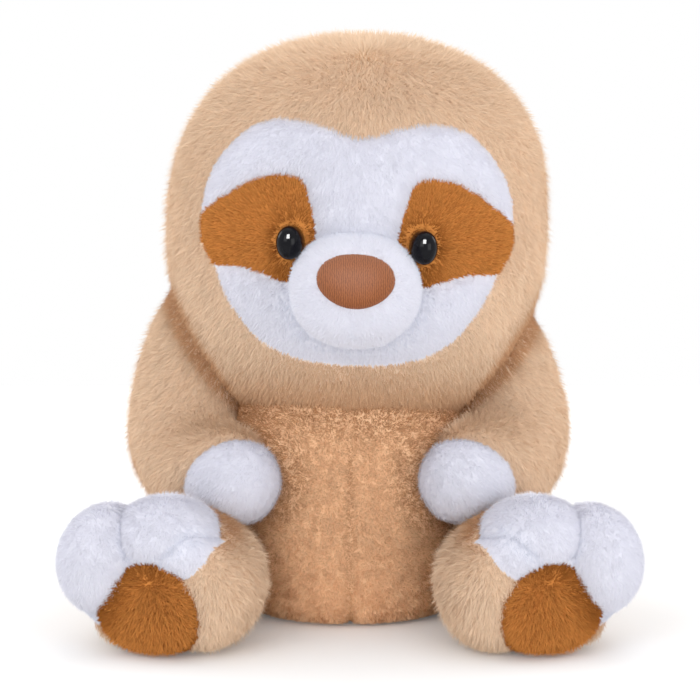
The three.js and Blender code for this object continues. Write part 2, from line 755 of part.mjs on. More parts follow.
// The white plush over a toe: an oval column along the leg, from the sole backwards
function toePrism(side, toe, grow) {
  const geometry = new THREE.CylinderGeometry(1, 1, 1, PRISM_SIDES);
  geometry.translate(0, -1 / 2, 0);
  const margin = TOE_PANEL_MARGIN + grow;
  geometry.scale(toe.halfWidth + margin, TOE_PANEL_LENGTH + grow, toe.halfHeight + margin);
  geometry.translate(0, OVERRUN, 0);
  geometry.rotateZ(Math.PI);
  geometry.rotateZ(side * THREE.MathUtils.degToRad(TOE_TURN));
  geometry.translate(side * toe.out, -toe.forward, toe.up);
  return solidOf(geometry);
}

function legTube(side, grow, sides = LIMB_SIDES) {
  const heights = [
    [0, LEG_HIP_RADIUS],
    [SHANK_SHARE, LEG_SHANK_RADIUS],
    [FOOT_SHARE, FOOT_HALF_HEIGHT],
  ];
  const widths = [
    [0, LEG_HIP_RADIUS],
    [SHANK_SHARE, LEG_SHANK_RADIUS],
    [FOOT_SHARE, FOOT_HALF_WIDTH],
  ];
  return solidOf(limbGeometry({
    spine: LEG_SPINE_SHARES.map(([out, forward, up]) => (
      onSide(side, out * SOLE_OUT, -forward * SOLE_REACH, up * SOLE_Z)
    )),
    widths: heights,
    heights: widths,
    sideways: new THREE.Vector3(0, 0, 1),
    rootRound: LEG_HIP_RADIUS,
    tipRound: SOLE_ROUND,
    tipPower: SOLE_POWER,
  }, grow, sides));
}

function legForm(side, grow) {
  return joined([legTube(side, grow), toeSolid(side, TOE_OUTER, grow), toeSolid(side, TOE_INNER, grow)]);
}

// The sole pad: a round bottom and a soft peak that runs up between the toes
const PAD_SHARES = [
  [0, 1], [0.25, 0.86], [0.6, 0.72], [0.92, 0.35], [1, -0.1], [0.86, -0.6], [0.5, -0.92], [0, -1],
];

function solePrism(side, grow) {
  const half = PAD_SHARES.map(([x, z]) => [x * (PAD_WIDTH / 2), z * (PAD_HEIGHT / 2)]);
  const otherHalf = half.slice(1, -1).reverse().map(([x, z]) => [-x, z]);
  const outline = grownOutline([...half, ...otherHalf].reverse(), grow);
  const geometry = new THREE.ExtrudeGeometry(smoothShape(outline, PAD_POINTS), { depth: REACH, bevelEnabled: false });
  geometry.rotateX(Math.PI / 2);
  geometry.translate(0, PAD_DEPTH, PAD_Z);
  geometry.rotateZ(side * THREE.MathUtils.degToRad(TOE_TURN));
  geometry.translate(side * SOLE_OUT, -SOLE_REACH, 0);
  return solidOf(geometry);
}

function legParts(side, word) {
  const clear = legSweep(side).add(below(0));
  const shell = minus(legForm(side, 0), legTube(side, -CLOTH, LIMB_CORE_SIDES), clear);
  const pad = solePrism(side, 0);
  const padHole = solePrism(side, SEAM_GAP);
  const outerHole = toePrism(side, TOE_OUTER, SEAM_GAP);
  const innerHole = toePrism(side, TOE_INNER, SEAM_GAP);
  const outerToe = minus(toePrism(side, TOE_OUTER, 0), padHole);
  const innerToe = minus(toePrism(side, TOE_INNER, 0), outerHole, padHole);
  return {
    [`leg_cover_${word}`]: [minus(shell, padHole, outerHole, innerHole), 'tan'],
    [`sole_pad_${word}`]: [shell.intersect(pad), 'brown'],
    [`toe_outer_${word}`]: [shell.intersect(outerToe), 'white'],
    [`toe_inner_${word}`]: [shell.intersect(innerToe), 'white'],
    [`leg_stuffing_${word}`]: [minus(legTube(side, -CLOTH - SEAM_GAP, LIMB_CORE_SIDES), clear), 'stuffing'],
  };
}

const figure = new THREE.Group();
figure.name = 'plush_sloth';

function addParts(parts) {
  for (const [name, [solid, finish]] of Object.entries(parts)) {
    const mesh = new THREE.Mesh(
      geometryOf(solid),
      new THREE.MeshStandardMaterial({ ...PALETTE[finish], metalness: 0 }),
    );
    mesh.name = name;
    figure.add(mesh);
  }
}

addParts(headParts());
addParts(torsoParts());
for (const [side, word] of [[left, 'left'], [right, 'right']]) {
  addParts(armParts(side, word));
  addParts(legParts(side, word));
}

export default figure;
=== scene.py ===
"""A sitting plush sloth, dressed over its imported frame: stuffed cloth covers, a soft pile of mesh strands,
glossy safety eyes and a ribbed cloth nose, on a plain pale floor in soft light."""

import itertools
import math

import bmesh
import bpy
import numpy as np
from bpy.props import FloatProperty, FloatVectorProperty, IntProperty, PointerProperty
from mathutils import Matrix, Vector


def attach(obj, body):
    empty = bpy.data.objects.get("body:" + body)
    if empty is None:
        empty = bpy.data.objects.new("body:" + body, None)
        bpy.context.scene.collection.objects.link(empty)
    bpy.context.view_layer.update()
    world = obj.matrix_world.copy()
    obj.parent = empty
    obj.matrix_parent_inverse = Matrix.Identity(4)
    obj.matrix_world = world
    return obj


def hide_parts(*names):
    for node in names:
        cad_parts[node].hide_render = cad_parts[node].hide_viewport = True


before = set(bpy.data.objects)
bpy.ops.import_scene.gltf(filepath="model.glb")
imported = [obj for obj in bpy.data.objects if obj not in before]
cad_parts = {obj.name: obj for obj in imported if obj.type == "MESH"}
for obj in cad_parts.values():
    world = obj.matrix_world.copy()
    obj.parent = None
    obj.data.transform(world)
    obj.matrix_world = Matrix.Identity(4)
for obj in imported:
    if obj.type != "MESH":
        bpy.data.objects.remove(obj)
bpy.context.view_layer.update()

bl_info = {
    "name": "Plush Sloth",
    "version": (1, 0, 0),
    "blender": (4, 5, 0),
    "location": "View3D > Sidebar > Plush Sloth",
    "description": "Sews the covers and grows the pile of a sitting plush sloth",
    "category": "Object",
}

MM = 0.001
DEG = math.pi / 180
LEFT = 1
RIGHT = -1
SIDES = (("left", LEFT), ("right", RIGHT))

# Neck seam and head, an egg that leans a little and whose chin is fuller than the solid's
NECK_Z = 98 * MM
HEAD_Y = -4 * MM
HEAD_LEAN = 2.2 * DEG
HEAD_RISE = 80 * MM
HEAD_HALF_WIDTH = 89 * MM
HEAD_HALF_DEPTH = 76.5 * MM
HEAD_CROWN = 88 * MM
HEAD_JAW = 92 * MM
JAW_FULLER = 7 * MM
CROWN_POWER = 2.6
CROWN_SHIFT = 5 * MM
JAW_POWER = 2.35

# Face panels, seen from the front and measured from the head's widest level
MASK_HALF_WIDTH = 70.5 * MM
MASK_TOP = 53 * MM
MASK_BOTTOM = 56 * MM
MASK_SPLIT_DROP = 3 * MM
PATCH_OUTER_X = 70.5 * MM
PATCH_INNER_X = 18.4 * MM
PATCH_TOP = 27.5 * MM
PATCH_BOTTOM = 19.5 * MM
MASK_SHARES = (
    (0, 0.87), (0.24, 0.955), (0.46, 1), (0.65, 0.945), (0.8, 0.79), (0.92, 0.58), (0.985, 0.34), (1, 0.1),
    (0.99, -0.08), (0.9, -0.28), (0.84, -0.45), (0.76, -0.61), (0.6, -0.83), (0.35, -0.965), (0, -1),
)
PATCH_SHARES = (
    (0.06, 0.6), (0.12, 0.9), (0.22, 1), (0.42, 0.98), (0.62, 0.82), (0.82, 0.56), (0.98, 0.3), (1.05, 0.02),
    (1, -0.38), (0.88, -0.72), (0.62, -0.72), (0.42, -0.84), (0.24, -1), (0.1, -0.8), (0.02, -0.3), (0, 0.1),
)
OUTLINE_STEPS = 10
NEAR = 8 * MM

# Muzzle and nose
MUZZLE_HALF_WIDTH = 29 * MM
MUZZLE_HALF_HEIGHT = 23.5 * MM
MUZZLE_REACH = 40 * MM
MUZZLE_Y = -67 * MM
MUZZLE_DROP = 21 * MM
MUZZLE_POWER = 2.5
MUZZLE_SECTION_POWER = 2.7
NOSE_HALF_WIDTH = 16 * MM
NOSE_HALF_HEIGHT = 11.25 * MM
NOSE_DROP = 15 * MM
NOSE_THICKNESS = 4 * MM
NOSE_SUNK = 3.5 * MM
NOSE_BACK = 3 * MM
NOSE_PUFF_POWER = 3.2
NOSE_FULLER = 1.08
NOSE_CHIN_NARROWER = 0.12
NOSE_TOP_WIDER = 0.05
NOSE_STEEPEST = 0.98
NOSE_BACK_SHARE = 0.98
MOUTH_DROP = 18 * MM
MOUTH_HALF_WIDTH = 6 * MM

# Safety eyes
EYE_X = 29.5 * MM
EYE_DROP = 1.5 * MM
EYE_HALF_WIDTH = 5.75 * MM
EYE_HALF_HEIGHT = 7.5 * MM
EYE_RIM = 1.3 * MM
EYE_DOME = 6 * MM
EYE_SINK = 4 * MM
EYE_STEPS = ((0.96, -EYE_SINK), (1, -0.9 * EYE_SINK), (1, 0.4 * EYE_RIM))

# Torso
TORSO_HALF_WIDTH = 58 * MM
TORSO_HALF_DEPTH = 59 * MM
TORSO_Y = -3 * MM
TORSO_WIDEST_Z = 41 * MM
TORSO_RISE = 86 * MM
TORSO_SEAT = 41.5 * MM
TORSO_RISE_POWER = 3
TORSO_SEAT_POWER = 7
SIDE_SEAM_Y = 12 * MM
BASE_HALF_WIDTH = 44 * MM
BASE_HALF_DEPTH = 42 * MM
BASE_Z = 9 * MM

# Arms, whose hands are fuller than the solids
ARM_OUT = 73 * MM
ARM_REACH = 78 * MM
ARM_TOP_Z = 164 * MM
ARM_SPINE_SHARES = (
    (0.75, 0, 1), (0.825, 0.02, 0.835), (0.935, 0.04, 0.7), (1, 0.07, 0.57), (1.03, 0.2, 0.47),
    (0.95, 0.42, 0.43), (0.765, 0.68, 0.425), (0.522, 1.01, 0.39),
)
ARM_ROOT_RADIUS = 24 * MM
ARM_ELBOW_RADIUS = 30.5 * MM
ARM_CUFF_RADIUS = 26 * MM
HAND_RADIUS = 23.5 * MM
ELBOW_SHARE = 0.45
CUFF_SHARE = 0.69
WRIST_SHARE = 0.84
WRIST_SLANT = 0.4
WRIST_LOW = (0.6, 0, -0.8)
HAND_SHARE = 0.89
CROOK = (68 * MM, -42 * MM, 97 * MM)
CROOK_ROUND = 30 * MM
CROOK_END = (0.6, 0.8)
CROOK_ROUNDS = 74
VOXEL_ROUNDS = 4
ARM_VOXEL = 4 * MM

# Legs, feet and toes
SOLE_OUT = 89 * MM
SOLE_REACH = 119 * MM
SOLE_Z = 30 * MM
LEG_SPINE_SHARES = ((0.62, 0.05, 0.85), (0.71, 0.32, 0.82), (0.83, 0.62, 0.92), (1, 1, 1))
LEG_HIP_RADIUS = 26 * MM
LEG_SHANK_RADIUS = 25 * MM
FOOT_HALF_WIDTH = 39.5 * MM
FOOT_HALF_HEIGHT = 30.5 * MM
SHANK_SHARE = 0.35
FOOT_SHARE = 0.72
SOLE_ROUND = 22 * MM
SOLE_POWER = 3
TOE_TURN = 19 * DEG
TOE_MARGIN = 1.5 * MM
TOE_BACK = 2 * MM
TOES = {
    "toe_outer": {"middle": (106.5 * MM, -92 * MM, 39 * MM), "halves": (18.5 * MM, 29 * MM, 25 * MM)},
    "toe_inner": {"middle": (81 * MM, -93 * MM, 48.5 * MM), "halves": (26 * MM, 28 * MM, 15.5 * MM)},
}
PAD_HALF_WIDTH = 23.5 * MM
PAD_HALF_HEIGHT = 21.5 * MM
PAD_Z = 22 * MM
PAD_SHARES = (
    (0, 1), (0.25, 0.86), (0.6, 0.72), (0.92, 0.35), (1, -0.1), (0.86, -0.6), (0.5, -0.92), (0, -1),
)
SOLE_WHORL = (8 * MM, 14 * MM)

# How the covers are made
FLOOR_Z = 0.6 * MM
EGG_FINENESS = {"head": 5, "torso": 5, "muzzle": 4, "toe": 4}
COVER_SLACK = {"head": 4 * MM, "muzzle": 2 * MM, "arm": 3.2 * MM, "toe": 1 * MM, "leg": 1 * MM, "torso": 0}
LIMB_RINGS = 32
LIMB_SIDES = 32
SPINE_SAMPLES = 120
CURVE_STEPS = 40
SMOOTHINGS = 2
FEW_POINTS = 3000

# How the pile lies and what shades it
HIDDEN_DEPTH = 2.5 * MM
SWEPT_DEPTH = 25 * MM
WHORL_FORWARD = 90 * MM
WHORL_RISE = (0.2, 0.8)
WHORL_BACK = 0.7
BRUSHED_ALONG = 0.5
BRUSHED_OUT = 0.9
CURL_SIZE = 3 * MM
CURL_SEED = 91
SEAM_WIDTH = 2.3 * MM
CHIN_SHADE = 50 * MM
# Painted light: how much paler the belly's pile is low down, as if lit from the floor, and between which heights it
# fades
SEAT_FLOOR_LIGHT = 0.35
SEAT_LIGHT_HEIGHTS = (6 * MM, 45 * MM)
GUARD_SHARE = 0.2
GUARD_LEAN = 0.5
LEAN_VARIES = 0.1
LEAN_SHARES = (0.75, 1.25)
STREAK = 0.88
SUNK_LEAN = 0.5
PRESSED_SHORTER = 0.3
LENGTH_BLOTCH = 6 * MM
LENGTH_VARIES = (0.88, 0.24)
WIDTH_VARIES = (0.7, 0.6)
RANDOM_SHADE = 0.4
EYE_CLEAR = 0.98
EYE_SHADE = (0.9, 2.3)
EYE_SUNK = (1.05, 1.5)
NOSE_CLEAR = 0.96
FREE_ROOT = 0.4
EDGE_SHARE = 0.55
STRANDS_PER_PIECE = 62000
# Painted shade: how much darker and warmer the pile is where it is pressed into a crease against another form
PILE_CREASE_SHADE = {"tan": (0.66, 1.35), "belly": (0.56, 1.3), "white": (0.92, 0.98), "brown": (0.45, 1.2)}
# Painted shade: how much darker and warmer the pile is at the strands' roots, where neighbouring strands would shade it
PILE_ROOT_SHADE = {"tan": (0.8, 1.06), "belly": (0.74, 1.1), "white": (0.97, 1), "brown": (0.6, 1.15)}
PILE_FLECKS = {"tan": (0.82, 1.14), "belly": (0.66, 1.2), "white": (0.97, 1.02), "brown": (0.6, 1.26)}

# Photograph: square, seen from a little above
CAMERA_DISTANCE = 1200 * MM
CAMERA_ELEVATION = 7 * DEG
CAMERA_AIM_Z = 120.6 * MM
CAMERA_ANGLE = 15.7 * DEG
SENSOR_WIDTH = 36
LAMPS = (
    ("key", (-1.5, -2.6, 1.5), 1.8, 26), ("fill", (2, -2.5, 0.5), 1.8, 24), ("top", (0.2, 0.4, 2.8), 2, 6),
    ("rim_left", (2.4, 1.3, 1.4), 1.2, 12), ("rim_right", (-2.4, 1.3, 1.4), 1.2, 12),
    ("window", (-0.2, -1.9, 1.6), 1.1, 300),
)


def length_property(name, description, default):
    return FloatProperty(name=name, description=description, default=default, unit="LENGTH")


def colour_property(name, description, value):
    return FloatVectorProperty(name=name, description=description, subtype="COLOR", size=3, min=0, max=1, default=value)


class CoverSizes(bpy.types.PropertyGroup):
    """Sizes of the sewn covers."""

    pressure: FloatProperty(name="Pressure", description="How hard the stuffing presses out of the head", default=40)
    stiffness: FloatProperty(name="Stiffness", description="How little the plush stretches", default=0.3)
    mass: FloatProperty(name="Mass", description="Mass of the cloth at a point", default=0.002, unit="MASS")
    swell: length_property("Swell", "How far the stuffing may push", 4 * MM)
    steps: IntProperty(name="Steps", description="Frames the cloth takes to settle", default=20)
    seam_depth: length_property("Seam depth", "How far a seam draws in", 1.5 * MM)
    seam_width: length_property("Seam width", "Half width of the dip at a seam", 3 * MM)


class PileSizes(bpy.types.PropertyGroup):
    """Sizes of the plush pile."""

    density: FloatProperty(name="Density", description="Strands on a square centimetre", default=340)
    width: length_property("Strand width", "Width at the root", 0.25 * MM)
    tan_length: length_property("Tan pile", "Length of the tan pile", 7 * MM)
    belly_length: length_property("Belly pile", "Length of the belly's pile", 2.8 * MM)
    white_length: length_property("White pile", "Length of the white pile", 3 * MM)
    patch_length: length_property("Patch pile", "Length round the eyes", 4 * MM)
    sole_length: length_property("Sole pile", "Length on the soles", 6 * MM)
    seed: IntProperty(name="Seed", description="Start of every random draw", default=7)


class PlushColours(bpy.types.PropertyGroup):
    """Colours of the cloths, as light reflected by the tips of the pile."""

    tan: colour_property("Tan", "Head, arms, legs and back", (0.88, 0.68, 0.5))
    belly: colour_property("Belly", "Front of the torso", (0.95, 0.64, 0.4))
    white: colour_property("White", "Mask, muzzle, hands and toes", (0.76, 0.76, 0.83))
    brown: colour_property("Brown", "Eye patches and soles", (0.7, 0.29, 0.075))
    nose: colour_property("Nose", "Ribbed cloth of the nose", (0.27, 0.085, 0.026))
    eye: colour_property("Eye", "Polished plastic", (0.004, 0.004, 0.006))
    floor: colour_property("Floor", "Plain pale floor", (0.9, 0.9, 0.9))


# Small sums

def column(values):
    return np.asarray(values)[:, None]


def unit(vectors):
    length = np.linalg.norm(vectors, axis=-1, keepdims=True)
    return vectors / np.maximum(length, 1e-12)


def powered(value, power):
    return np.sign(value) * np.abs(value) ** (2 / power)


def smooth_step(value, low, high):
    t = np.clip((value - low) / (high - low), 0, 1)
    return t * t * (3 - 2 * t)


def turned(vectors, matrix):
    return vectors @ np.array(matrix.to_3x3()).T


def moved(points, matrix):
    return turned(points, matrix) + np.array(matrix.translation)


def tangent_part(vectors, normals):
    return vectors - normals * np.sum(vectors * normals, axis=1, keepdims=True)


# Soft noise that is the same on every run

def corner_value(cells, seed):
    mixed = cells[:, 0] * 73856093 ^ cells[:, 1] * 19349663 ^ cells[:, 2] * 83492791 ^ (seed * 668265263)
    mixed = (mixed ^ (mixed >> 13)) * 1274126177 & 0xFFFFFFFF
    mixed = (mixed ^ (mixed >> 16)) * 2246822519 & 0xFFFFFFFF
    return (mixed ^ (mixed >> 15)) / 0xFFFFFFFF


def cloudy(points, size, seed):
    """Smooth noise from 0 to 1 whose blotches are about one size wide."""
    scaled = points / size
    cells = np.floor(scaled).astype(np.int64)
    part = scaled - cells
    part = part * part * (3 - 2 * part)
    total = np.zeros(len(points))
    for corner in itertools.product((0, 1), repeat=3):
        offset = np.array(corner)
        weight = np.prod(np.where(offset, part, 1 - part), axis=1)
        total += weight * corner_value(cells + offset, seed)
    return total


def cloudy_vector(points, size, seed):
    return np.stack([cloudy(points, size, seed + axis) * 2 - 1 for axis in range(3)], axis=1)


# Smooth closed outlines

def drawn_smoothly(points):
    points = np.array(points, float)
    before, after, later = (np.roll(points, shift, axis=0) for shift in (1, -1, -2))
    parts = []
    for t in np.arange(OUTLINE_STEPS) / OUTLINE_STEPS:
        parts.append(0.5 * (
            2 * points + (after - before) * t
            + (2 * before - 5 * points + 4 * after - later) * t ** 2
            + (3 * points - before - 3 * after + later) * t ** 3
        ))
    return np.stack(parts, axis=1).reshape(-1, 2)


def both_halves(half):
    return half + [(-x, z) for x, z in reversed(half[1:-1])]


def sized(shares, width, top, bottom, start=0, side=1):
    """An outline's points from their shares of its width and of its heights above and below."""
    return [(side * (start + x * width), z * (top if z > 0 else bottom)) for x, z in shares]


MASK = drawn_smoothly(both_halves(sized(MASK_SHARES, MASK_HALF_WIDTH, MASK_TOP, MASK_BOTTOM)))
PAD = drawn_smoothly(both_halves(sized(PAD_SHARES, PAD_HALF_WIDTH, PAD_HALF_HEIGHT, PAD_HALF_HEIGHT)))
PATCHES = {
    side: drawn_smoothly(
        sized(PATCH_SHARES, PATCH_OUTER_X - PATCH_INNER_X, PATCH_TOP, PATCH_BOTTOM, PATCH_INNER_X, side)
    )
    for side in (LEFT, RIGHT)
}


def within(outline, points):
    """How far points lie inside a closed outline, negative outside it, and no more than NEAR where far off."""
    close = np.all((points > outline.min(axis=0) - NEAR) & (points < outline.max(axis=0) + NEAR), axis=1)
    result = np.full(len(points), -NEAR)
    result[close] = depth_within(outline, points[close])
    return result


def depth_within(outline, points):
    nearest = np.full(len(points), np.inf)
    crossings = np.zeros(len(points), int)
    for (ax, az), (bx, bz) in zip(outline, np.roll(outline, -1, axis=0)):
        along = np.array([bx - ax, bz - az])
        offset = points - np.array([ax, az])
        t = np.clip(offset @ along / max(along @ along, 1e-18), 0, 1)
        gap = offset - column(t) * along
        nearest = np.minimum(nearest, np.hypot(gap[:, 0], gap[:, 1]))
        spans = (az > points[:, 1]) != (bz > points[:, 1])
        with np.errstate(divide="ignore", invalid="ignore"):
            cut = ax + (points[:, 1] - az) * (bx - ax) / (bz - az)
        crossings += spans & (points[:, 0] < cut)
    return np.where(crossings % 2 == 1, nearest, -nearest)


# Stuffed forms

class Egg:
    """Swells from its lower pole to its widest level and tapers to its upper pole."""

    def __init__(self, kind, place, halves, heights, powers=(2, 2), section_power=2, up_shift=0):
        self.fineness = EGG_FINENESS[kind]
        self.place = place
        self.halves = halves
        self.up, self.down = heights
        self.powers = powers
        self.section_power = section_power
        self.up_shift = up_shift

    def fullness(self, local, inset=0):
        """1 on the surface, less inside."""
        width, depth = (half - inset for half in self.halves)
        across = np.abs(local[:, 0] / width) ** self.section_power + np.abs(local[:, 1] / depth) ** self.section_power
        across = across ** (1 / self.section_power)
        upper = local[:, 2] > 0
        height = np.where(upper, self.up - inset, self.down - inset)
        power = np.where(upper, *self.powers)
        return (across ** power + np.abs(local[:, 2] / height) ** power) ** (1 / power)

    def shifted(self, local, way=1):
        """Moves the upper half sideways, most at its pole."""
        over = way * self.up_shift * (np.maximum(local[:, 2], 0) / self.up) ** 2
        return local + column(over) * np.array([1, 0, 0])

    def cover(self, inset):
        """A fine closed mesh of the surface."""
        points, faces = ball_mesh(self.fineness)
        local = points / column(self.fullness(points, inset))
        return moved(self.shifted(local), self.place), faces

    def depth(self, points):
        """How far inside the surface points lie, negative outside."""
        local = self.shifted(moved(points, self.place.inverted()), -1)
        return np.linalg.norm(local, axis=1) * (1 / np.maximum(self.fullness(local), 1e-6) - 1)


class Limb:
    """A tube round a curved spine that swells, tapers and rounds off at both ends."""

    def __init__(self, spine, widths, heights, sideways, root_round, tip_round, tip_power=2):
        self.widths = widths
        self.heights = heights
        self.root_round = root_round
        self.tip_round = tip_round
        self.tip_power = tip_power
        curve = spine_curve(spine)
        steps = np.linalg.norm(np.diff(curve, axis=0), axis=1)
        distance = np.concatenate([[0], np.cumsum(steps)])
        self.length = distance[-1]
        self.shares = np.linspace(0, 1, SPINE_SAMPLES)
        self.middle = np.stack([np.interp(self.shares * self.length, distance, curve[:, a]) for a in range(3)], axis=1)
        self.along = unit(np.gradient(self.middle, axis=0))
        across = np.tile(np.array(sideways, float), (SPINE_SAMPLES, 1))
        self.across = unit(tangent_part(across, self.along))
        self.upward = np.cross(self.along, self.across)

    def radii(self, share, inset):
        return stationed(self.widths, share) - inset, stationed(self.heights, share) - inset

    def rounding(self, distance, inset):
        """Share of the full radius at a distance along the spine."""
        root, tip = self.root_round - inset, self.tip_round - inset
        from_root = np.clip(1 - (distance - inset) / root, 0, 1)
        from_tip = np.clip(1 - (self.length - inset - distance) / tip, 0, 1)
        return np.sqrt(1 - from_root ** 2) * (1 - from_tip ** self.tip_power) ** (1 / self.tip_power)

    def cover(self, inset):
        turn = np.linspace(0, math.pi / 2, LIMB_RINGS // 4)[1:]
        root, tip = self.root_round - inset, self.tip_round - inset
        start = inset + root * (1 - np.cos(turn))
        end = self.length - inset - tip * (1 - powered(np.cos(turn), self.tip_power))
        middle = np.linspace(start[-1], end[-1], LIMB_RINGS // 2 + 2)[1:-1]
        distances = np.concatenate([start, middle, end[::-1]])
        share = distances / self.length
        width, height = (radius * self.rounding(distances, inset) for radius in self.radii(share, inset))
        angle = np.arange(LIMB_SIDES) * 2 * math.pi / LIMB_SIDES
        rings = (
            self.at(self.middle, share)[:, None]
            + self.at(self.across, share)[:, None] * (width[:, None] * np.cos(angle))[..., None]
            + self.at(self.upward, share)[:, None] * (height[:, None] * np.sin(angle))[..., None]
        )
        ends = self.at(self.middle, np.array([inset, self.length - inset]) / self.length)
        return closed_rings(rings, ends)

    def at(self, values, share):
        return np.stack([np.interp(share, self.shares, values[:, axis]) for axis in range(3)], axis=1)

    def station(self, points):
        """For each point the share along the spine and the place across it."""
        nearest = np.zeros(len(points), int)
        least = np.full(len(points), np.inf)
        for i, middle in enumerate(self.middle):
            gap = np.sum((points - middle) ** 2, axis=1)
            closer = gap < least
            nearest[closer] = i
            least[closer] = gap[closer]
        offset = points - self.middle[nearest]
        places = (np.sum(offset * ways[nearest], axis=1) for ways in (self.across, self.upward, self.along))
        return self.shares[nearest], *places

    def depth(self, points):
        share, across, upward, beyond = self.station(points)
        width, height = self.radii(share, 0)
        round_share = np.maximum(self.rounding(share * self.length, 0), 1e-3)
        fullness = np.hypot(across / (width * round_share), upward / (height * round_share))
        inside = (1 - fullness) * np.minimum(width, height) * round_share
        ends = ((share < 1e-6) & (beyond < 0)) | ((share > 1 - 1e-6) & (beyond > 0))
        return np.where(ends, -np.sqrt(beyond ** 2 + across ** 2 + upward ** 2), inside)


def stationed(stations, share):
    """A smooth value between stations of (share of the length, value)."""
    result = np.full(np.shape(share), stations[0][1], float)
    for (low, before), (high, after) in zip(stations, stations[1:]):
        result = np.where(share > low, before + (after - before) * smooth_step(share, low, high), result)
    return result


def spine_curve(points):
    """A smooth curve through the points, whose steps follow the square roots of their distances."""
    points = [np.array(p, float) for p in points]
    ghost = [2 * points[0] - points[1]] + points + [2 * points[-1] - points[-2]]
    curve = []
    for p0, p1, p2, p3 in zip(ghost, ghost[1:], ghost[2:], ghost[3:]):
        t1 = math.sqrt(np.linalg.norm(p1 - p0))
        t2 = t1 + math.sqrt(np.linalg.norm(p2 - p1))
        t3 = t2 + math.sqrt(np.linalg.norm(p3 - p2))
        for t in np.linspace(t1, t2, CURVE_STEPS):
            a1 = p0 + (p1 - p0) * t / t1
            a2 = p1 + (p2 - p1) * (t - t1) / (t2 - t1)
            a3 = p2 + (p3 - p2) * (t - t2) / (t3 - t2)
            b1 = a1 + (a2 - a1) * t / t2
            b2 = a2 + (a3 - a2) * (t - t1) / (t3 - t1)
            curve.append(b1 + (b2 - b1) * (t - t1) / (t2 - t1))
    return np.array(curve)


def closed_rings(rings, ends):
    """Points and triangles of a form with a point at either end."""
    count, sides = rings.shape[:2]
    points = np.concatenate([ends[:1], rings.reshape(-1, 3), ends[1:]])
    ring, side = np.meshgrid(np.arange(count - 1), np.arange(sides), indexing="ij")
    here = 1 + ring * sides + side
    beside = 1 + ring * sides + (side + 1) % sides
    quads = np.stack([here, beside, beside + sides, here + sides], axis=-1).reshape(-1, 4)
    around = np.arange(sides)
    first = np.stack([np.zeros(sides, int), 1 + (around + 1) % sides, 1 + around], axis=1)
    base = 1 + (count - 1) * sides
    last = np.stack([np.full(sides, len(points) - 1), base + around, base + (around + 1) % sides], axis=1)
    return points, np.concatenate([first, quads[:, [0, 1, 2]], quads[:, [0, 2, 3]], last])


def ball_mesh(fineness):
    """Points and triangles of an even ball."""
    ball = bmesh.new()
    bmesh.ops.create_icosphere(ball, subdivisions=fineness, radius=1)
    points = np.array([v.co[:] for v in ball.verts])
    faces = np.array([[v.index for v in f.verts] for f in ball.faces])
    ball.free()
    return unit(points), faces


# The toy's own forms

def head_place(drop=0, forward=0):
    lean = Matrix.Rotation(HEAD_LEAN, 4, "Y")
    on_neck = Matrix.Translation((0, forward, HEAD_RISE - drop))
    return Matrix.Translation((0, HEAD_Y, NECK_Z)) @ lean @ on_neck


def make_arm(side):
    spine = [(side * x * ARM_OUT, -y * ARM_REACH, z * ARM_TOP_Z) for x, y, z in ARM_SPINE_SHARES]
    radii = [
        (0, ARM_ROOT_RADIUS), (ELBOW_SHARE, ARM_ELBOW_RADIUS), (CUFF_SHARE, ARM_CUFF_RADIUS), (HAND_SHARE, HAND_RADIUS),
    ]
    return Limb(spine, radii, radii, (1, 0, 0), ARM_ROOT_RADIUS, HAND_RADIUS)


def make_leg(side):
    spine = [(side * x * SOLE_OUT, -y * SOLE_REACH, z * SOLE_Z) for x, y, z in LEG_SPINE_SHARES]
    shank = [(0, LEG_HIP_RADIUS), (SHANK_SHARE, LEG_SHANK_RADIUS)]
    heights, widths = (shank + [(FOOT_SHARE, half)] for half in (FOOT_HALF_HEIGHT, FOOT_HALF_WIDTH))
    return Limb(spine, heights, widths, (0, 0, 1), LEG_HIP_RADIUS, SOLE_ROUND, SOLE_POWER)


def toe_place(toe, side):
    x, y, z = toe["middle"]
    return Matrix.Translation((side * x, y, z)) @ Matrix.Rotation(side * TOE_TURN, 4, "Z")


def make_forms():
    muzzle_place = head_place(MUZZLE_DROP, MUZZLE_Y - HEAD_Y) @ Matrix.Rotation(math.pi / 2, 4, "X")
    forms = {
        "head": Egg(
            "head", head_place(), (HEAD_HALF_WIDTH, HEAD_HALF_DEPTH), (HEAD_CROWN, HEAD_JAW + JAW_FULLER),
            (CROWN_POWER, JAW_POWER), up_shift=CROWN_SHIFT,
        ),
        "muzzle": Egg(
            "muzzle", muzzle_place, (MUZZLE_HALF_WIDTH, MUZZLE_HALF_HEIGHT), (MUZZLE_REACH, MUZZLE_REACH),
            (MUZZLE_POWER, MUZZLE_POWER), MUZZLE_SECTION_POWER,
        ),
        "torso": Egg(
            "torso", Matrix.Translation((0, TORSO_Y, TORSO_WIDEST_Z)), (TORSO_HALF_WIDTH, TORSO_HALF_DEPTH),
            (TORSO_RISE, TORSO_SEAT), (TORSO_RISE_POWER, TORSO_SEAT_POWER),
        ),
    }
    for word, side in SIDES:
        forms[f"arm_{word}"] = make_arm(side)
        forms[f"leg_{word}"] = make_leg(side)
        for name, toe in TOES.items():
            width, length, height = toe["halves"]
            forms[f"{name}_{word}"] = Egg("toe", toe_place(toe, side), (width, length), (height, height))
    return forms


FORMS = make_forms()


# Which panel a place belongs to. Each test gives how far inside its panel a place lies, negative outside.

def inside_all(*tests):
    return lambda points: np.minimum.reduce([test(points) for test in tests])


def outside(*tests):
    return lambda points: -np.maximum.reduce([test(points) for test in tests])


def face_places(points):
    """Places seen from the front, from the head's widest level, those on the back of the head far off."""
    local = moved(points, head_place().inverted())
    return np.where(column(local[:, 1] < 0), local[:, [0, 2]], 1)


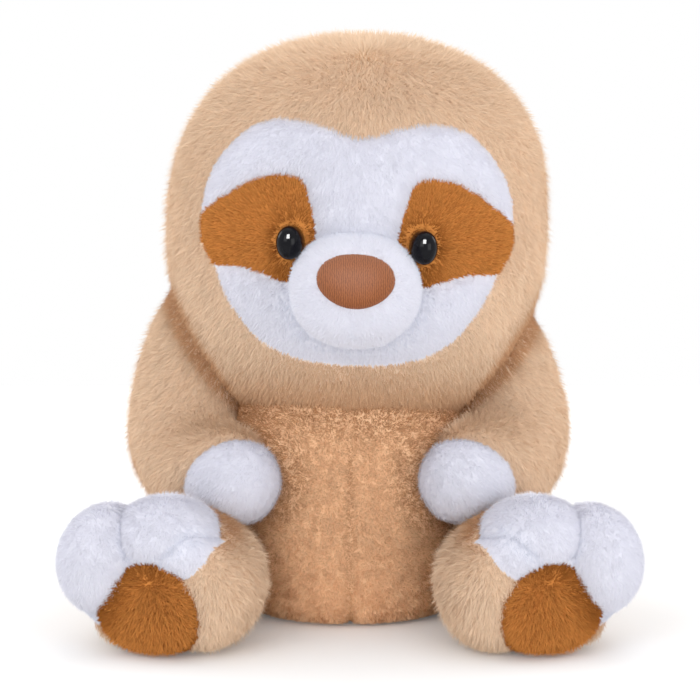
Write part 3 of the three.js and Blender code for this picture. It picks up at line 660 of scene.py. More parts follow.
def mask_depth(points):
    return within(MASK, face_places(points))


def patch_depth(side):
    return inside_all(lambda points: within(PATCHES[side], face_places(points)), mask_depth)


def any_patch_depth(points):
    return np.maximum(patch_depth(LEFT)(points), patch_depth(RIGHT)(points))


def above_split(points):
    return face_places(points)[:, 1] + MASK_SPLIT_DROP


def everywhere(points):
    return np.full(len(points), HEAD_HALF_WIDTH)


def base_depth(points):
    oval = 1 - np.hypot(points[:, 0] / BASE_HALF_WIDTH, (points[:, 1] - TORSO_Y) / BASE_HALF_DEPTH)
    return np.minimum(oval * BASE_HALF_DEPTH, BASE_Z - points[:, 2])


def torso_depth(side, way):
    """A belly panel with way 1, a back panel with way -1."""
    return inside_all(
        lambda points: side * points[:, 0], lambda points: way * (SIDE_SEAM_Y - points[:, 1]), outside(base_depth),
    )


def hand_depth(word, side):
    """The wrist seam slants up the arm on its low outer side."""
    arm = FORMS[f"arm_{word}"]

    def depth(points):
        share = arm.station(points)[0]
        slant = (points - arm.at(arm.middle, share)) @ (np.array(WRIST_LOW) * (side, 1, 1)) * WRIST_SLANT
        return (share - WRIST_SHARE) * arm.length + slant + WRIST_SLANT * HAND_RADIUS / 2
    return depth


def pad_depth(side):
    """The sole pad's outline lies across the leg's end."""
    place = Matrix.Translation((side * SOLE_OUT, -SOLE_REACH, PAD_Z)) @ Matrix.Rotation(side * TOE_TURN, 4, "Z")

    def depth(points):
        local = moved(points, place.inverted())
        return np.minimum(within(PAD, local[:, [0, 2]]), SOLE_ROUND - local[:, 1])
    return depth


def toe_depth(name, side):
    """The white plush of a toe: an oval column along the leg."""
    place = toe_place(TOES[name], side)
    width, _, height = TOES[name]["halves"]

    def column_depth(points):
        local = moved(points, place.inverted())
        oval = np.hypot(local[:, 0] / (width + TOE_MARGIN), local[:, 2] / (height + TOE_MARGIN))
        return np.minimum((1 - oval) * height, TOE_BACK - local[:, 1])
    beyond = [pad_depth(side)] + ([toe_depth("toe_outer", side)] if name == "toe_inner" else [])
    return inside_all(column_depth, outside(*beyond))


def make_seams():
    """For each form the panels whose edges are its seams."""
    seams = {
        "head": (mask_depth, any_patch_depth),
        "torso": (torso_depth(LEFT, 1), torso_depth(RIGHT, 1), base_depth),
    }
    for word, side in SIDES:
        seams[f"arm_{word}"] = (hand_depth(word, side),)
        seams[f"leg_{word}"] = (pad_depth(side), *(toe_depth(name, side) for name in TOES))
    return seams


SEAMS = make_seams()


# Which way the pile is brushed

def brushed_down(points):
    return np.tile([0.0, 0.0, -1.0], (len(points), 1))


def brushed_over_head(back):
    """Down and out to every side, from a whorl on the front of the crown where it is also brushed back."""
    def flow(points):
        local = moved(points, head_place().inverted())
        forward = WHORL_FORWARD * smooth_step(local[:, 2], *(share * HEAD_CROWN for share in WHORL_RISE))
        out = np.stack([local[:, 0], (local[:, 1] + forward) * back, np.full(len(points), -HEAD_HALF_WIDTH)], axis=1)
        return turned(unit(out), head_place())
    return flow


def brushed_from(centre):
    """Away from one place, as round an eye or the nose."""
    return lambda points: unit(points - np.array(centre))


def brushed_along(limb):
    """Along a limb towards its tip, down and outwards."""
    def flow(points):
        share = limb.station(points)[0]
        out = np.stack(np.broadcast_arrays(np.sign(points[:, 0]), 0.0, -1.0), axis=1)
        return BRUSHED_ALONG * limb.at(limb.along, share) + BRUSHED_OUT * out
    return flow


def upright(points):
    """Standing on end, each tuft curled its own way."""
    return cloudy_vector(points, CURL_SIZE, CURL_SEED)


def eye_place(side):
    """Where an eye sits on the face, its Z axis pointing out."""
    x, z = side * EYE_X, -EYE_DROP
    level = math.sqrt(1 - (z / HEAD_JAW) ** 2)
    y = -HEAD_HALF_DEPTH * math.sqrt(level ** 2 - (x / HEAD_HALF_WIDTH) ** 2)
    facing = Vector((x / HEAD_HALF_WIDTH ** 2, y / HEAD_HALF_DEPTH ** 2, z / HEAD_JAW ** 2)).normalized()
    upward = (Vector((0, 0, 1)) - facing * facing.z).normalized()
    turn = Matrix((upward.cross(facing), upward, facing)).transposed().to_4x4()
    return head_place() @ Matrix.Translation((x, y, z)) @ turn


# Meshes

def new_mesh(name, points, faces):
    mesh = bpy.data.meshes.new(name)
    mesh.vertices.add(len(points))
    mesh.vertices.foreach_set("co", np.ascontiguousarray(points, np.float32).ravel())
    mesh.loops.add(faces.size)
    mesh.polygons.add(len(faces))
    mesh.polygons.foreach_set("loop_start", np.arange(len(faces), dtype=np.int32) * faces.shape[1])
    mesh.polygons.foreach_set("vertices", np.ascontiguousarray(faces, np.int32).ravel())
    mesh.update(calc_edges=True)
    return mesh


def new_object(name, mesh):
    made = bpy.data.objects.new(name, mesh)
    bpy.context.scene.collection.objects.link(made)
    return made


def new_piece(name, mesh, material, body, nodes=()):
    piece = new_object(name, mesh)
    mesh.materials.append(material)
    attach(piece, body)
    if nodes:
        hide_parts(*nodes)
    return piece


def point_normals(points, faces):
    corners = points[faces]
    flat = np.cross(corners[:, 1] - corners[:, 0], corners[:, 2] - corners[:, 0])
    normals = np.zeros_like(points)
    for corner in range(3):
        np.add.at(normals, faces[:, corner], flat)
    return unit(normals)


def mesh_points(mesh):
    points = np.empty(len(mesh.vertices) * 3, np.float32)
    mesh.vertices.foreach_get("co", points)
    return points.reshape(-1, 3).astype(float)


def evaluated(piece):
    return piece.evaluated_get(bpy.context.evaluated_depsgraph_get()).data


def taken_off(piece):
    """The points and triangles that a piece's modifiers make, after which the piece is removed."""
    mesh = evaluated(piece)
    mesh.calc_loop_triangles()
    corners = np.empty(len(mesh.loop_triangles) * 3, np.int32)
    mesh.loop_triangles.foreach_get("vertices", corners)
    points = mesh_points(mesh)
    bpy.data.objects.remove(piece)
    return points, corners.reshape(-1, 3)


# Covers

def stuffed(name, points, faces, gap):
    """Fills the empty cover: the cloth swells between the seams that hold it, and comes back smooth."""
    sizes = bpy.context.scene.plush_covers
    piece = new_object(name, new_mesh(name, points, faces))
    held = piece.vertex_groups.new(name="seams")
    for index, weight in enumerate(np.exp(-(gap / sizes.seam_width) ** 2)):
        held.add([index], weight, "REPLACE")
    reach = np.linalg.norm(points - points.mean(axis=0), axis=1).mean()
    cloth = piece.modifiers.new("stuffing", "CLOTH")
    cloth.settings.use_pressure = True
    cloth.settings.uniform_pressure_force = sizes.pressure * (HEAD_HALF_WIDTH / reach) ** 2
    cloth.settings.mass = sizes.mass
    for way in ("tension", "compression", "shear"):
        setattr(cloth.settings, f"{way}_stiffness", sizes.stiffness)
    cloth.settings.bending_stiffness = sizes.stiffness / 6
    cloth.settings.effector_weights.gravity = 0
    cloth.settings.vertex_group_mass = held.name
    for step in range(1, sizes.steps + 1):
        bpy.context.scene.frame_set(step)
    normals = point_normals(points, faces)
    pushed = np.sum((mesh_points(evaluated(piece)) - points) * normals, axis=1).clip(0, sizes.swell)
    piece.modifiers.remove(cloth)
    bpy.context.scene.frame_set(1)
    points = points + normals * column(pushed)
    piece.data.vertices.foreach_set("co", np.ascontiguousarray(points, np.float32).ravel())
    piece.data.update()
    smooth = piece.modifiers.new("smooth", "SUBSURF")
    smooth.levels = SMOOTHINGS if len(points) < FEW_POINTS else SMOOTHINGS - 1
    return taken_off(piece)


def crook_filled(limb, points, faces, side):
    """The stuffing rounds off the crook of the arm: an even mesh, relaxed there towards its neighbours."""
    piece = new_object("arm", new_mesh("arm", points, faces))
    even = piece.modifiers.new("even", "REMESH")
    even.mode = "VOXEL"
    even.voxel_size = ARM_VOXEL
    points, faces = taken_off(piece)
    near = np.linalg.norm(points - np.array(CROOK) * (side, 1, 1), axis=1)
    share = column(np.exp(-(near / CROOK_ROUND) ** 2) * (1 - smooth_step(limb.station(points)[0], *CROOK_END)))
    ways = np.concatenate([faces[:, [0, 1]], faces[:, [1, 2]], faces[:, [2, 0]]])
    neighbours = column(np.bincount(ways[:, 0], minlength=len(points)))
    for turn in range(CROOK_ROUNDS):
        total = np.zeros_like(points)
        np.add.at(total, ways[:, 0], points[ways[:, 1]])
        points = points + (total / neighbours - points) * 0.5 * (1 if turn < VOXEL_ROUNDS else share)
    return points, faces


def seam_gap(points, seam_tests):
    if not seam_tests:
        return everywhere(points)
    return np.min([np.abs(test(points)) for test in seam_tests], axis=0)


def body_of(form_name):
    """Toes move with their leg, and the muzzle with the head."""
    return form_name.replace("toe_outer", "leg").replace("toe_inner", "leg").replace("muzzle", "head")


def depth_in_others(points, own_form):
    """How far places lie inside other forms of the same body and inside those of other bodies, negative outside."""
    fellow, other = (np.full(len(points), -HEAD_HALF_WIDTH) for _ in range(2))
    for name, form in FORMS.items():
        if name != own_form:
            deepest = fellow if body_of(name) == body_of(own_form) else other
            np.maximum(deepest, form.depth(points), out=deepest)
    return fellow, other


_covers = {}


def cover_of(form_name):
    """The whole cover of a form, stuffed and then drawn in along its seams, with its normals and depths in others."""
    if form_name not in _covers:
        sizes = bpy.context.scene.plush_covers
        form, seams = FORMS[form_name], SEAMS.get(form_name, ())
        kind, _, word = form_name.partition("_")
        points, faces = form.cover(COVER_SLACK[kind])
        if kind == "arm":
            points, faces = crook_filled(form, points, faces, dict(SIDES)[word])
        points, faces = stuffed(form_name, points, faces, seam_gap(points, seams))
        dip = sizes.seam_depth * np.exp(-(seam_gap(points, seams) / sizes.seam_width) ** 2)
        points = points - point_normals(points, faces) * column(dip)
        points[:, 2] = np.maximum(points[:, 2], FLOOR_Z)
        _covers[form_name] = (points, faces, point_normals(points, faces), *depth_in_others(points, form_name))
    return _covers[form_name]


class Panel:
    """One panel of a form's cover, with its depth from the edge, in forms of its body and in others at each point."""

    def __init__(self, form_name, panel_test):
        points, faces, *rest = cover_of(form_name)
        used, corners = np.unique(faces[panel_test(points[faces].mean(axis=1)) > 0], return_inverse=True)
        self.body = body_of(form_name)
        self.faces = corners.reshape(-1, 3)
        self.points = points[used]
        self.edge = panel_test(points)[used]
        self.normals, self.fellow, self.other = (values[used] for values in rest)


# Pile

class Pile:
    """How the pile of one panel grows."""

    lean = 1.2
    spread = 0.22
    tuft = 0.3
    tuft_size = 2.2 * MM
    uneven = 0.35
    width = 1
    thick = 1
    fleck = 1.4 * MM
    # Width of the painted shade where the pile nears another form
    crease = 16 * MM
    # Places of extra painted shade, where the pile is also shorter
    folds = None
    sunk = None
    # Painted light: how much paler the pile is made where light from the floor would reach it
    floor_lit = None

    def __init__(self, length, flow, **settings):
        self.length = length
        self.flow = flow
        vars(self).update(settings)


def long_pile(length, flow, **settings):
    return Pile(length, flow, spread=0.25, tuft=0.5, **settings)


def white_pile(length, flow, spread=0.2, tuft=0.1, **settings):
    return Pile(length, flow, spread=spread, tuft=tuft, uneven=0.15, width=0.8, **settings)


def strands_on(panel, pile, seed, kept):
    """Roots, bends, tips and shading of strands spread evenly over the cloth."""
    sizes = bpy.context.scene.plush_pile
    draw = np.random.default_rng([sizes.seed, seed])
    faces = panel.faces
    corners = panel.points[faces]
    area = np.linalg.norm(np.cross(corners[:, 1] - corners[:, 0], corners[:, 2] - corners[:, 0]), axis=1) / 2
    density = sizes.density * pile.thick * 1e4 / 1
    count = int(area.sum() * density)
    face = np.searchsorted(np.cumsum(area) / area.sum(), draw.random(count)).clip(0, len(faces) - 1)
    u, v = np.sqrt(draw.random(count)), draw.random(count)
    share = np.stack([1 - u, u * (1 - v), u * v], axis=1)
    root = np.einsum("ij,ijk->ik", share, corners[face])
    normal = unit(np.einsum("ij,ijk->ik", share, panel.normals[faces[face]]))
    edge, fellow, other = (
        np.sum(share * values[faces[face]], axis=1) for values in (panel.edge, panel.fellow, panel.other)
    )
    keep = (fellow < HIDDEN_DEPTH) & (other < SWEPT_DEPTH) & kept(root)
    root, normal, edge, fellow, other = (values[keep] for values in (root, normal, edge, fellow, other))
    count = len(root)
    # Painted shade: near other forms and at extra places the pile is darker, as in the shade of a crease; it is also
    # shorter there
    press_and_shade = smooth_step(other, -pile.crease, 0) * (1 - smooth_step(other, 2 * HIDDEN_DEPTH, 4 * HIDDEN_DEPTH))
    press_and_shade = np.maximum(press_and_shade, smooth_step(fellow, -pile.crease, 0)) ** 1.5
    if pile.folds:
        press_and_shade = np.maximum(press_and_shade, pile.folds(root))

    flow = unit(tangent_part(pile.flow(root), normal) + 1e-9)
    drawn = root - flow * column(np.sum(root * flow, axis=1)) * STREAK
    tuft = cloudy_vector(drawn, pile.tuft_size, seed + 11)
    wild = draw.normal(size=(count, 3))
    comb = unit(flow + tangent_part(tuft, normal) * pile.tuft + tangent_part(wild, normal) * pile.spread)
    guard = draw.random(count) < GUARD_SHARE
    lean = pile.lean * np.where(guard, GUARD_LEAN, 1) + draw.normal(size=count) * LEAN_VARIES
    lean += (cloudy(drawn, pile.tuft_size, seed + 17) - 0.5) * pile.tuft
    if pile.sunk:
        beside = pile.sunk(root)
        lean = lean * (1 - beside) - SUNK_LEAN * beside
    length = pile.length * (1 - pile.uneven * draw.random(count) ** 1.5) * (1 - PRESSED_SHORTER * press_and_shade)
    length *= EDGE_SHARE + (1 - EDGE_SHARE) * smooth_step(edge, 0, pile.length)
    least, more = LENGTH_VARIES
    length *= least + more * cloudy(root, LENGTH_BLOTCH, seed + 23)
    lower, upper = (
        normal * column(np.cos(lean * part)) + comb * column(np.sin(lean * part)) for part in LEAN_SHARES
    )
    bend = root + lower * column(length * 0.5)
    tip = bend + upper * column(length * 0.5)
    for places in (bend, tip):
        places[:, 2] = np.maximum(places[:, 2], FLOOR_Z)
    side = unit(np.cross(normal, comb) + wild * 0.2)
    least, more = WIDTH_VARIES
    wide = sizes.width * pile.width * 1 * (least + more * draw.random(count))
    shade = RANDOM_SHADE * draw.random(count) + (1 - RANDOM_SHADE) * cloudy(drawn, pile.fleck, seed + 29)
    # Painted light from the floor makes some pile paler
    if pile.floor_lit:
        shade = np.minimum(shade + pile.floor_lit(root), 1)
    return root, bend, tip, side * column(wide / 2), shade, press_and_shade


def pile_mesh(name, root, bend, tip, half, shade, press_and_shade):
    """Ribbons that narrow to a point, each with its own cell of the bake map."""
    count = len(root)
    points = np.stack([root - half, root + half, bend - half * 0.8, bend + half * 0.8, tip], axis=1).reshape(-1, 3)
    first = np.arange(count)[:, None, None] * 5
    faces = (first + np.array([[0, 1, 3], [0, 3, 2], [2, 3, 4]])).reshape(-1, 3)
    mesh = new_mesh(name, points, faces)
    # Height along the strand, which the material turns into painted shade at the root; where the pile is pressed and
    # shaded it goes towards zero
    height = np.tile([0, 0, 0.5, 0.5, 1], count) * (1 - FREE_ROOT) + FREE_ROOT
    height *= 1 - np.repeat(press_and_shade, 5)
    for label, values in (("height", height), ("shade", np.repeat(shade, 5))):
        mesh.attributes.new(label, "FLOAT", "POINT").data.foreach_set("value", values.astype(np.float32))
    cells = math.ceil(math.sqrt(count))
    cell = np.stack([np.arange(count) % cells, np.arange(count) // cells], axis=1)
    inside = np.array([[0.25, 0.1], [0.75, 0.1], [0.3, 0.5], [0.7, 0.5], [0.5, 0.9]])
    places = ((cell[:, None] + inside) / cells).reshape(-1, 2)
    layer = mesh.uv_layers.new(name="OFBake")
    layer.data.foreach_set("uv", places[faces.ravel()].astype(np.float32).ravel())
    return mesh


def all_kept(root):
    return np.ones(len(root), bool)


def grow(name, panel, pile, colour, seed, kept=all_kept):
    """The pile of a panel, in pieces of at most STRANDS_PER_PIECE strands from the lowest up."""
    strands = strands_on(panel, pile, seed, kept)
    parts = math.ceil(len(strands[0]) / STRANDS_PER_PIECE)
    order = np.argsort(strands[0][:, 2], kind="stable")
    for part, chosen in enumerate(np.array_split(order, parts), 1):
        label = f"{name}_pile" if parts == 1 else f"{name}_pile_{part}"
        mesh = pile_mesh(label, *(values[chosen] for values in strands))
        # The pile casts no shadow; the painted shade in its colour stands in for it
        new_piece(label, mesh, pile_material(colour), panel.body).visible_shadow = False


def laid(name, panel, colour, nodes=()):
    """The stuffed cloth of a panel."""
    cloth = new_mesh(f"{name}_cloth", panel.points, panel.faces)
    return new_piece(f"{name}_cloth", cloth, backing_material(colour), panel.body, nodes)


def sew(name, form_name, panel_test, colour, pile, seed, kept=all_kept):
    """One panel: its stuffed cloth and the pile on it."""
    panel = Panel(form_name, panel_test)
    piece = laid(name, panel, colour, [name])
    grow(name, panel, pile, colour, seed, kept)


# Places where the pile is pressed and darkened with painted shade, sunk, made paler with painted floor light, or left
# out

def eye_gap(root):
    """How far places lie from the nearer eye's middle, as a share of its half sizes."""
    gap = np.full(len(root), np.inf)
    for _, side in SIDES:
        local = moved(root, eye_place(side).inverted())
        gap = np.minimum(gap, np.hypot(local[:, 0] / EYE_HALF_WIDTH, local[:, 1] / EYE_HALF_HEIGHT))
    return gap


def clear_of_eyes(root):
    return eye_gap(root) > EYE_CLEAR


def clear_of_nose(root):
    local = moved(root, head_place(NOSE_DROP).inverted())
    gap = np.hypot(local[:, 0] / NOSE_HALF_WIDTH, local[:, 2] / NOSE_HALF_HEIGHT)
    return (gap > NOSE_CLEAR) | (local[:, 1] > -HEAD_HALF_DEPTH)


def round_the_eyes(root):
    """Painted shade: the pile is deeper in colour round an eye, and shorter there."""
    return 0.75 * (1 - smooth_step(eye_gap(root), *EYE_SHADE))


def beside_the_eyes(root):
    """The pile stands over the rim of an eye."""
    return 1 - smooth_step(eye_gap(root), *EYE_SUNK)


def along_the_mouth(root):
    """Painted shade of the small fold under the nose, where the pile is also shorter."""
    local = moved(root, head_place(MUZZLE_DROP + MOUTH_DROP).inverted())
    fold = local[:, 2] - (local[:, 0] / MOUTH_HALF_WIDTH) ** 2 * MM
    return 0.8 * np.exp(-(fold / MM) ** 2) * (np.abs(local[:, 0]) < MOUTH_HALF_WIDTH / 2)


def under_the_chin(root):
    """Painted shade: the pile darkens where the chin meets the chest, and is shorter there."""
    return 0.9 * smooth_step(FORMS["torso"].depth(root), -CHIN_SHADE, -2 * MM)


def floor_light_low_on_belly(root):
    """Painted light: the low part of the belly is paler, as if lit by light thrown up from the floor."""
    return SEAT_FLOOR_LIGHT * (1 - smooth_step(root[:, 2], *SEAT_LIGHT_HEIGHTS))


def along_seams(tests, mark):
    """The pile sinks into the seams between panels: it is shorter there, and darker with painted shade."""
    return lambda root: mark * np.exp(-(seam_gap(root, tests) / SEAM_WIDTH) ** 2)


# Materials

def wire(tree, target, inputs):
    """Sets a node's inputs to numbers and colours, or joins them to other nodes' outputs."""
    for key, value in inputs.items():
        if isinstance(value, bpy.types.NodeSocket):
            tree.links.new(value, target.inputs[key])
        else:
            target.inputs[key].default_value = value


def node(tree, kind, inputs=None, output=0, **settings):
    """A new node's output."""
    made = tree.nodes.new(f"ShaderNode{kind}")
    for key, value in settings.items():
        setattr(made, key, value)
    wire(tree, made, inputs or {})
    return made.outputs[output]


def textured(tree, kind, output="Fac", **sizes):
    inputs = {key.replace("_", " "): value for key, value in sizes.items()}
    inputs["Vector"] = node(tree, "TexCoord", output="Object")
    return node(tree, kind, inputs, output)


def mapped(tree, factor, low, high):
    return node(tree, "MapRange", {"Value": factor, "To Min": low, "To Max": high})


def ramp(tree, factor, first, last, *between):
    """A colour ramp through stops of (position, colour)."""
    made = tree.nodes.new("ShaderNodeValToRGB")
    tree.links.new(factor, made.inputs["Fac"])
    elements = made.color_ramp.elements
    for element, (position, colour) in zip(elements, (first, last)):
        element.position = position
        element.color = colour
    for position, colour in between:
        elements.new(position).color = colour
    return made.outputs["Color"]


def bumped(tree, height, strength, depth):
    return node(tree, "Bump", {"Height": height, "Strength": strength, "Distance": depth})


def fresh_material(name):
    material = bpy.data.materials.new(name)
    material.use_nodes = True
    return material, material.node_tree, material.node_tree.nodes["Principled BSDF"]


def scaled_colour(colour, factor, warmth=1.0):
    """A colour scaled by a factor, its green and blue lowered by the warmth; the pile's painted shade at the roots and
    in creases is made with it.
    """
    red, green, blue = colour
    return (red * factor, green * factor / warmth, blue * factor / warmth ** 2, 1)


def colour_of(name):
    return getattr(bpy.context.scene.plush_colours, name)


def pile_material(colour):
    """Strands: painted shade, deepest in creases and deeper at the root, pale at the tip, no two quite alike."""
    name = f"{colour}_pile"
    if name in bpy.data.materials:
        return bpy.data.materials[name]
    value = colour_of(colour)
    material, tree, shader = fresh_material(name)
    height, shade = (node(tree, "Attribute", output="Fac", attribute_name=label) for label in ("height", "shade"))
    # Painted shade: deepest where the pile is pressed into a crease, darker at the root, full colour at the tip
    deep, root = scaled_colour(value, *PILE_CREASE_SHADE[colour]), scaled_colour(value, *PILE_ROOT_SHADE[colour])
    grown = ramp(tree, height, (0, deep), (1, scaled_colour(value, 1)), (FREE_ROOT, root))
    drift = mapped(tree, textured(tree, "TexNoise", Scale=45, Detail=3), 0.96, 1.04)
    flecks = mapped(tree, shade, *PILE_FLECKS[colour])
    both = node(tree, "Math", {0: flecks, 1: drift}, operation="MULTIPLY")
    scaled = node(tree, "VectorMath", {0: grown, "Scale": both}, operation="SCALE")
    wire(tree, shader, {"Base Color": scaled, "Roughness": 0.9, "Specular IOR Level": 0})
    return material


def backing_material(colour):
    """The knitted cloth that the pile stands in."""
    name = f"{colour}_backing"
    if name in bpy.data.materials:
        return bpy.data.materials[name]
    value = colour_of(colour)
    material, tree, shader = fresh_material(name)
    # The knit varies between full colour and half the pile's painted root shade: a knit pattern, darkened as if in the
    # pile's shadow
    factor, warmth = PILE_ROOT_SHADE[colour]
    knit = textured(tree, "TexNoise", Scale=900, Detail=2)
    base = ramp(tree, knit, (0, scaled_colour(value, (factor + 1) / 2, (warmth + 1) / 2)), (1, scaled_colour(value, 1)))
    normal = bumped(tree, knit, 0.4, 0.3 * MM)
    wire(tree, shader, {"Base Color": base, "Normal": normal, "Roughness": 0.95, "Specular IOR Level": 0})
    return material


def eye_material():
    """Polished black plastic, a little unevenly glossy."""
    material, tree, shader = fresh_material("eye_plastic")
    gloss = mapped(tree, textured(tree, "TexNoise", Scale=260), 0.04, 0.09)
    wire(tree, shader, {"Base Color": (*colour_of("eye"), 1), "Roughness": gloss, "Specular IOR Level": 0.15})
    return material


def nose_material():
    """Fine ribbed cloth, each rib of twisted brown threads."""
    value = colour_of("nose")
    material, tree, shader = fresh_material("nose_cloth")
    ribs = textured(tree, "TexWave", Scale=330, Distortion=4, Detail=2, Detail_Scale=2)
    threads = textured(tree, "TexNoise", Scale=1100, Detail=3)
    mixed = node(tree, "Mix", {"Factor": 0.55, 2: ribs, 3: threads}, data_type="FLOAT")
    base = ramp(tree, mixed, (0.3, scaled_colour(value, 0.72, 1.06)), (0.7, scaled_colour(value, 1.2)))
    wire(tree, shader, {
        "Base Color": base, "Normal": bumped(tree, mixed, 0.6, 0.25 * MM), "Roughness": 0.75,
        "Specular IOR Level": 0.2, "Sheen Weight": 0.1, "Sheen Roughness": 0.4,
    })
    return material


def hidden_material(name, colour, grain):
    """Loose fibre, pellets or moulded plastic that the covers hide."""
    material, tree, shader = fresh_material(name)
    texture = textured(tree, "TexVoronoi", "Distance", Scale=grain)
    base = ramp(tree, texture, (0, scaled_colour(colour, 0.8)), (1, scaled_colour(colour, 1)))
    wire(tree, shader, {"Base Color": base, "Roughness": 0.9})
    return material


# Operators, one for each piece or group of like pieces

class PLUSH_OT_head(bpy.types.Operator):
    """Sew the head's cover, brow, cheeks and eye patches"""

    bl_idname = "plush.head"
    bl_label = "Head"

    def execute(self, context):
        sizes = context.scene.plush_pile
        crown = long_pile(sizes.tan_length, brushed_over_head(WHORL_BACK), crease=20 * MM, folds=under_the_chin)
        white = white_pile(sizes.white_length, brushed_over_head(0))
        sew("head_cover", "head", outside(mask_depth), "tan", crown, 1)
        for seed, (name, level) in enumerate((("brow", above_split), ("cheek", outside(above_split))), 2):
            panel_test = inside_all(mask_depth, outside(any_patch_depth), level)
            sew(f"{name}_panel", "head", panel_test, "white", white, seed, clear_of_eyes)
        for word, side in SIDES:
            patch = Pile(
                sizes.patch_length, brushed_from(eye_place(side).translation), lean=1.05, spread=0.2, tuft=0.25,
                folds=round_the_eyes, sunk=beside_the_eyes,
            )
            sew(f"eye_patch_{word}", "head", patch_depth(side), "brown", patch, 4 + side, clear_of_eyes)
        return {"FINISHED"}


class PLUSH_OT_muzzle(bpy.types.Operator):
    """Sew the stuffed muzzle"""

    bl_idname = "plush.muzzle"
    bl_label = "Muzzle"

    def execute(self, context):
        nose = head_place(NOSE_DROP, MUZZLE_Y - HEAD_Y) @ Vector((0, -MUZZLE_REACH, 0))
        length = context.scene.plush_pile.white_length * 0.9
        pile = white_pile(length, brushed_from(nose), folds=along_the_mouth)
        sew("muzzle", "muzzle", everywhere, "white", pile, 7, clear_of_nose)
        return {"FINISHED"}


class PLUSH_OT_nose(bpy.types.Operator):
    """Make the padded nose of ribbed cloth"""

    bl_idname = "plush.nose"
    bl_label = "Nose"
    rings: IntProperty(name="Rings", description="Rings of the mesh", default=40)
    sides: IntProperty(name="Sides", description="Sides of the mesh", default=120)

    def execute(self, context):
        angle = np.arange(self.sides) * 2 * math.pi / self.sides
        rim_x, rim_z = np.cos(angle), np.sin(angle)
        rim_x *= 1 - NOSE_CHIN_NARROWER * np.maximum(-rim_z, 0) ** 2
        rim_x *= 1 + NOSE_TOP_WIDER * np.maximum(rim_z, 0)
        share = np.linspace(1, 0, self.rings + 1)[:-1]
        flat_x = share[:, None] * rim_x * NOSE_HALF_WIDTH * NOSE_FULLER
        flat_z = share[:, None] * rim_z * NOSE_HALF_HEIGHT * NOSE_FULLER
        across = (np.abs(flat_x / MUZZLE_HALF_WIDTH) ** MUZZLE_SECTION_POWER
                  + np.abs((flat_z + MUZZLE_DROP - NOSE_DROP) / MUZZLE_HALF_HEIGHT) ** MUZZLE_SECTION_POWER)
        level = across ** (MUZZLE_POWER / MUZZLE_SECTION_POWER)
        surface = -MUZZLE_REACH * (1 - np.minimum(level, NOSE_STEEPEST)) ** (1 / MUZZLE_POWER)
        puff = np.sqrt(np.maximum(1 - share ** NOSE_PUFF_POWER, 0))[:, None]
        lift = -NOSE_SUNK + (NOSE_THICKNESS + NOSE_BACK) * puff
        points = np.stack([flat_x, surface - lift, flat_z], axis=-1)
        level = (abs(MUZZLE_DROP - NOSE_DROP) / MUZZLE_HALF_HEIGHT) ** MUZZLE_POWER
        surface = -MUZZLE_REACH * (1 - level) ** (1 / MUZZLE_POWER)
        top = np.array([0, surface - NOSE_THICKNESS + NOSE_SUNK - NOSE_BACK, 0])
        back = points[0] * NOSE_BACK_SHARE + np.array([0, NOSE_BACK, 0])
        rings = np.concatenate([back[None], points])
        local, faces = closed_rings(rings, np.array([back.mean(axis=0), top]))
        mesh = new_mesh("nose_pad", moved(local, head_place(NOSE_DROP, MUZZLE_Y - HEAD_Y)), faces)
        piece = new_piece("nose_pad", mesh, nose_material(), "head", ["nose"])
        return {"FINISHED"}


class PLUSH_OT_eyes(bpy.types.Operator):
    """Set the glossy safety eyes"""

    bl_idname = "plush.eyes"
    bl_label = "Eyes"
    rings: IntProperty(name="Rings", description="Rings of the dome", default=24)
    sides: IntProperty(name="Sides", description="Sides of the dome", default=64)

    def execute(self, context):
        material = eye_material()
        angle = np.arange(self.sides) * 2 * math.pi / self.sides
        rise = np.linspace(0, math.pi / 2, self.rings + 1)[:-1]
        dome = np.stack([np.cos(rise), EYE_RIM + EYE_DOME * np.sin(rise)], axis=1)
        radius, height = np.concatenate([EYE_STEPS, dome]).T[..., None]
        rings = np.stack(np.broadcast_arrays(
            radius * np.cos(angle) * EYE_HALF_WIDTH, radius * np.sin(angle) * EYE_HALF_HEIGHT, height,
        ), axis=-1)
        local, faces = closed_rings(rings, np.array([[0, 0, -EYE_SINK], [0, 0, EYE_RIM + EYE_DOME]]))
        for word, side in SIDES:
            mesh = new_mesh(f"eye_{word}_dome", moved(local, eye_place(side)), faces)
            new_piece(f"eye_{word}_dome", mesh, material, "head", [f"eye_{word}"])
        return {"FINISHED"}


class PLUSH_OT_torso(bpy.types.Operator):
    """Sew the belly, back and base panels"""

    bl_idname = "plush.torso"
    bl_label = "Torso"

    def execute(self, context):
        sizes = context.scene.plush_pile
        folds = along_seams(SEAMS["torso"], 0.8)
        belly = Pile(
            sizes.belly_length, upright, lean=0.7, spread=0.9, tuft=0.25, tuft_size=1.6 * MM, thick=1.4,
            folds=folds, fleck=1.3 * MM, crease=26 * MM, floor_lit=floor_light_low_on_belly,
        )
        back = Pile(sizes.tan_length, brushed_down, lean=1.0, folds=folds)
        base = Pile(sizes.tan_length * 0.5, brushed_from((0, TORSO_Y, 0)))
        for word, side in SIDES:
            sew(f"belly_panel_{word}", "torso", torso_depth(side, 1), "belly", belly, 20 + side)
            sew(f"back_panel_{word}", "torso", torso_depth(side, -1), "tan", back, 23 + side)
        sew("base_panel", "torso", base_depth, "tan", base, 26)
        return {"FINISHED"}


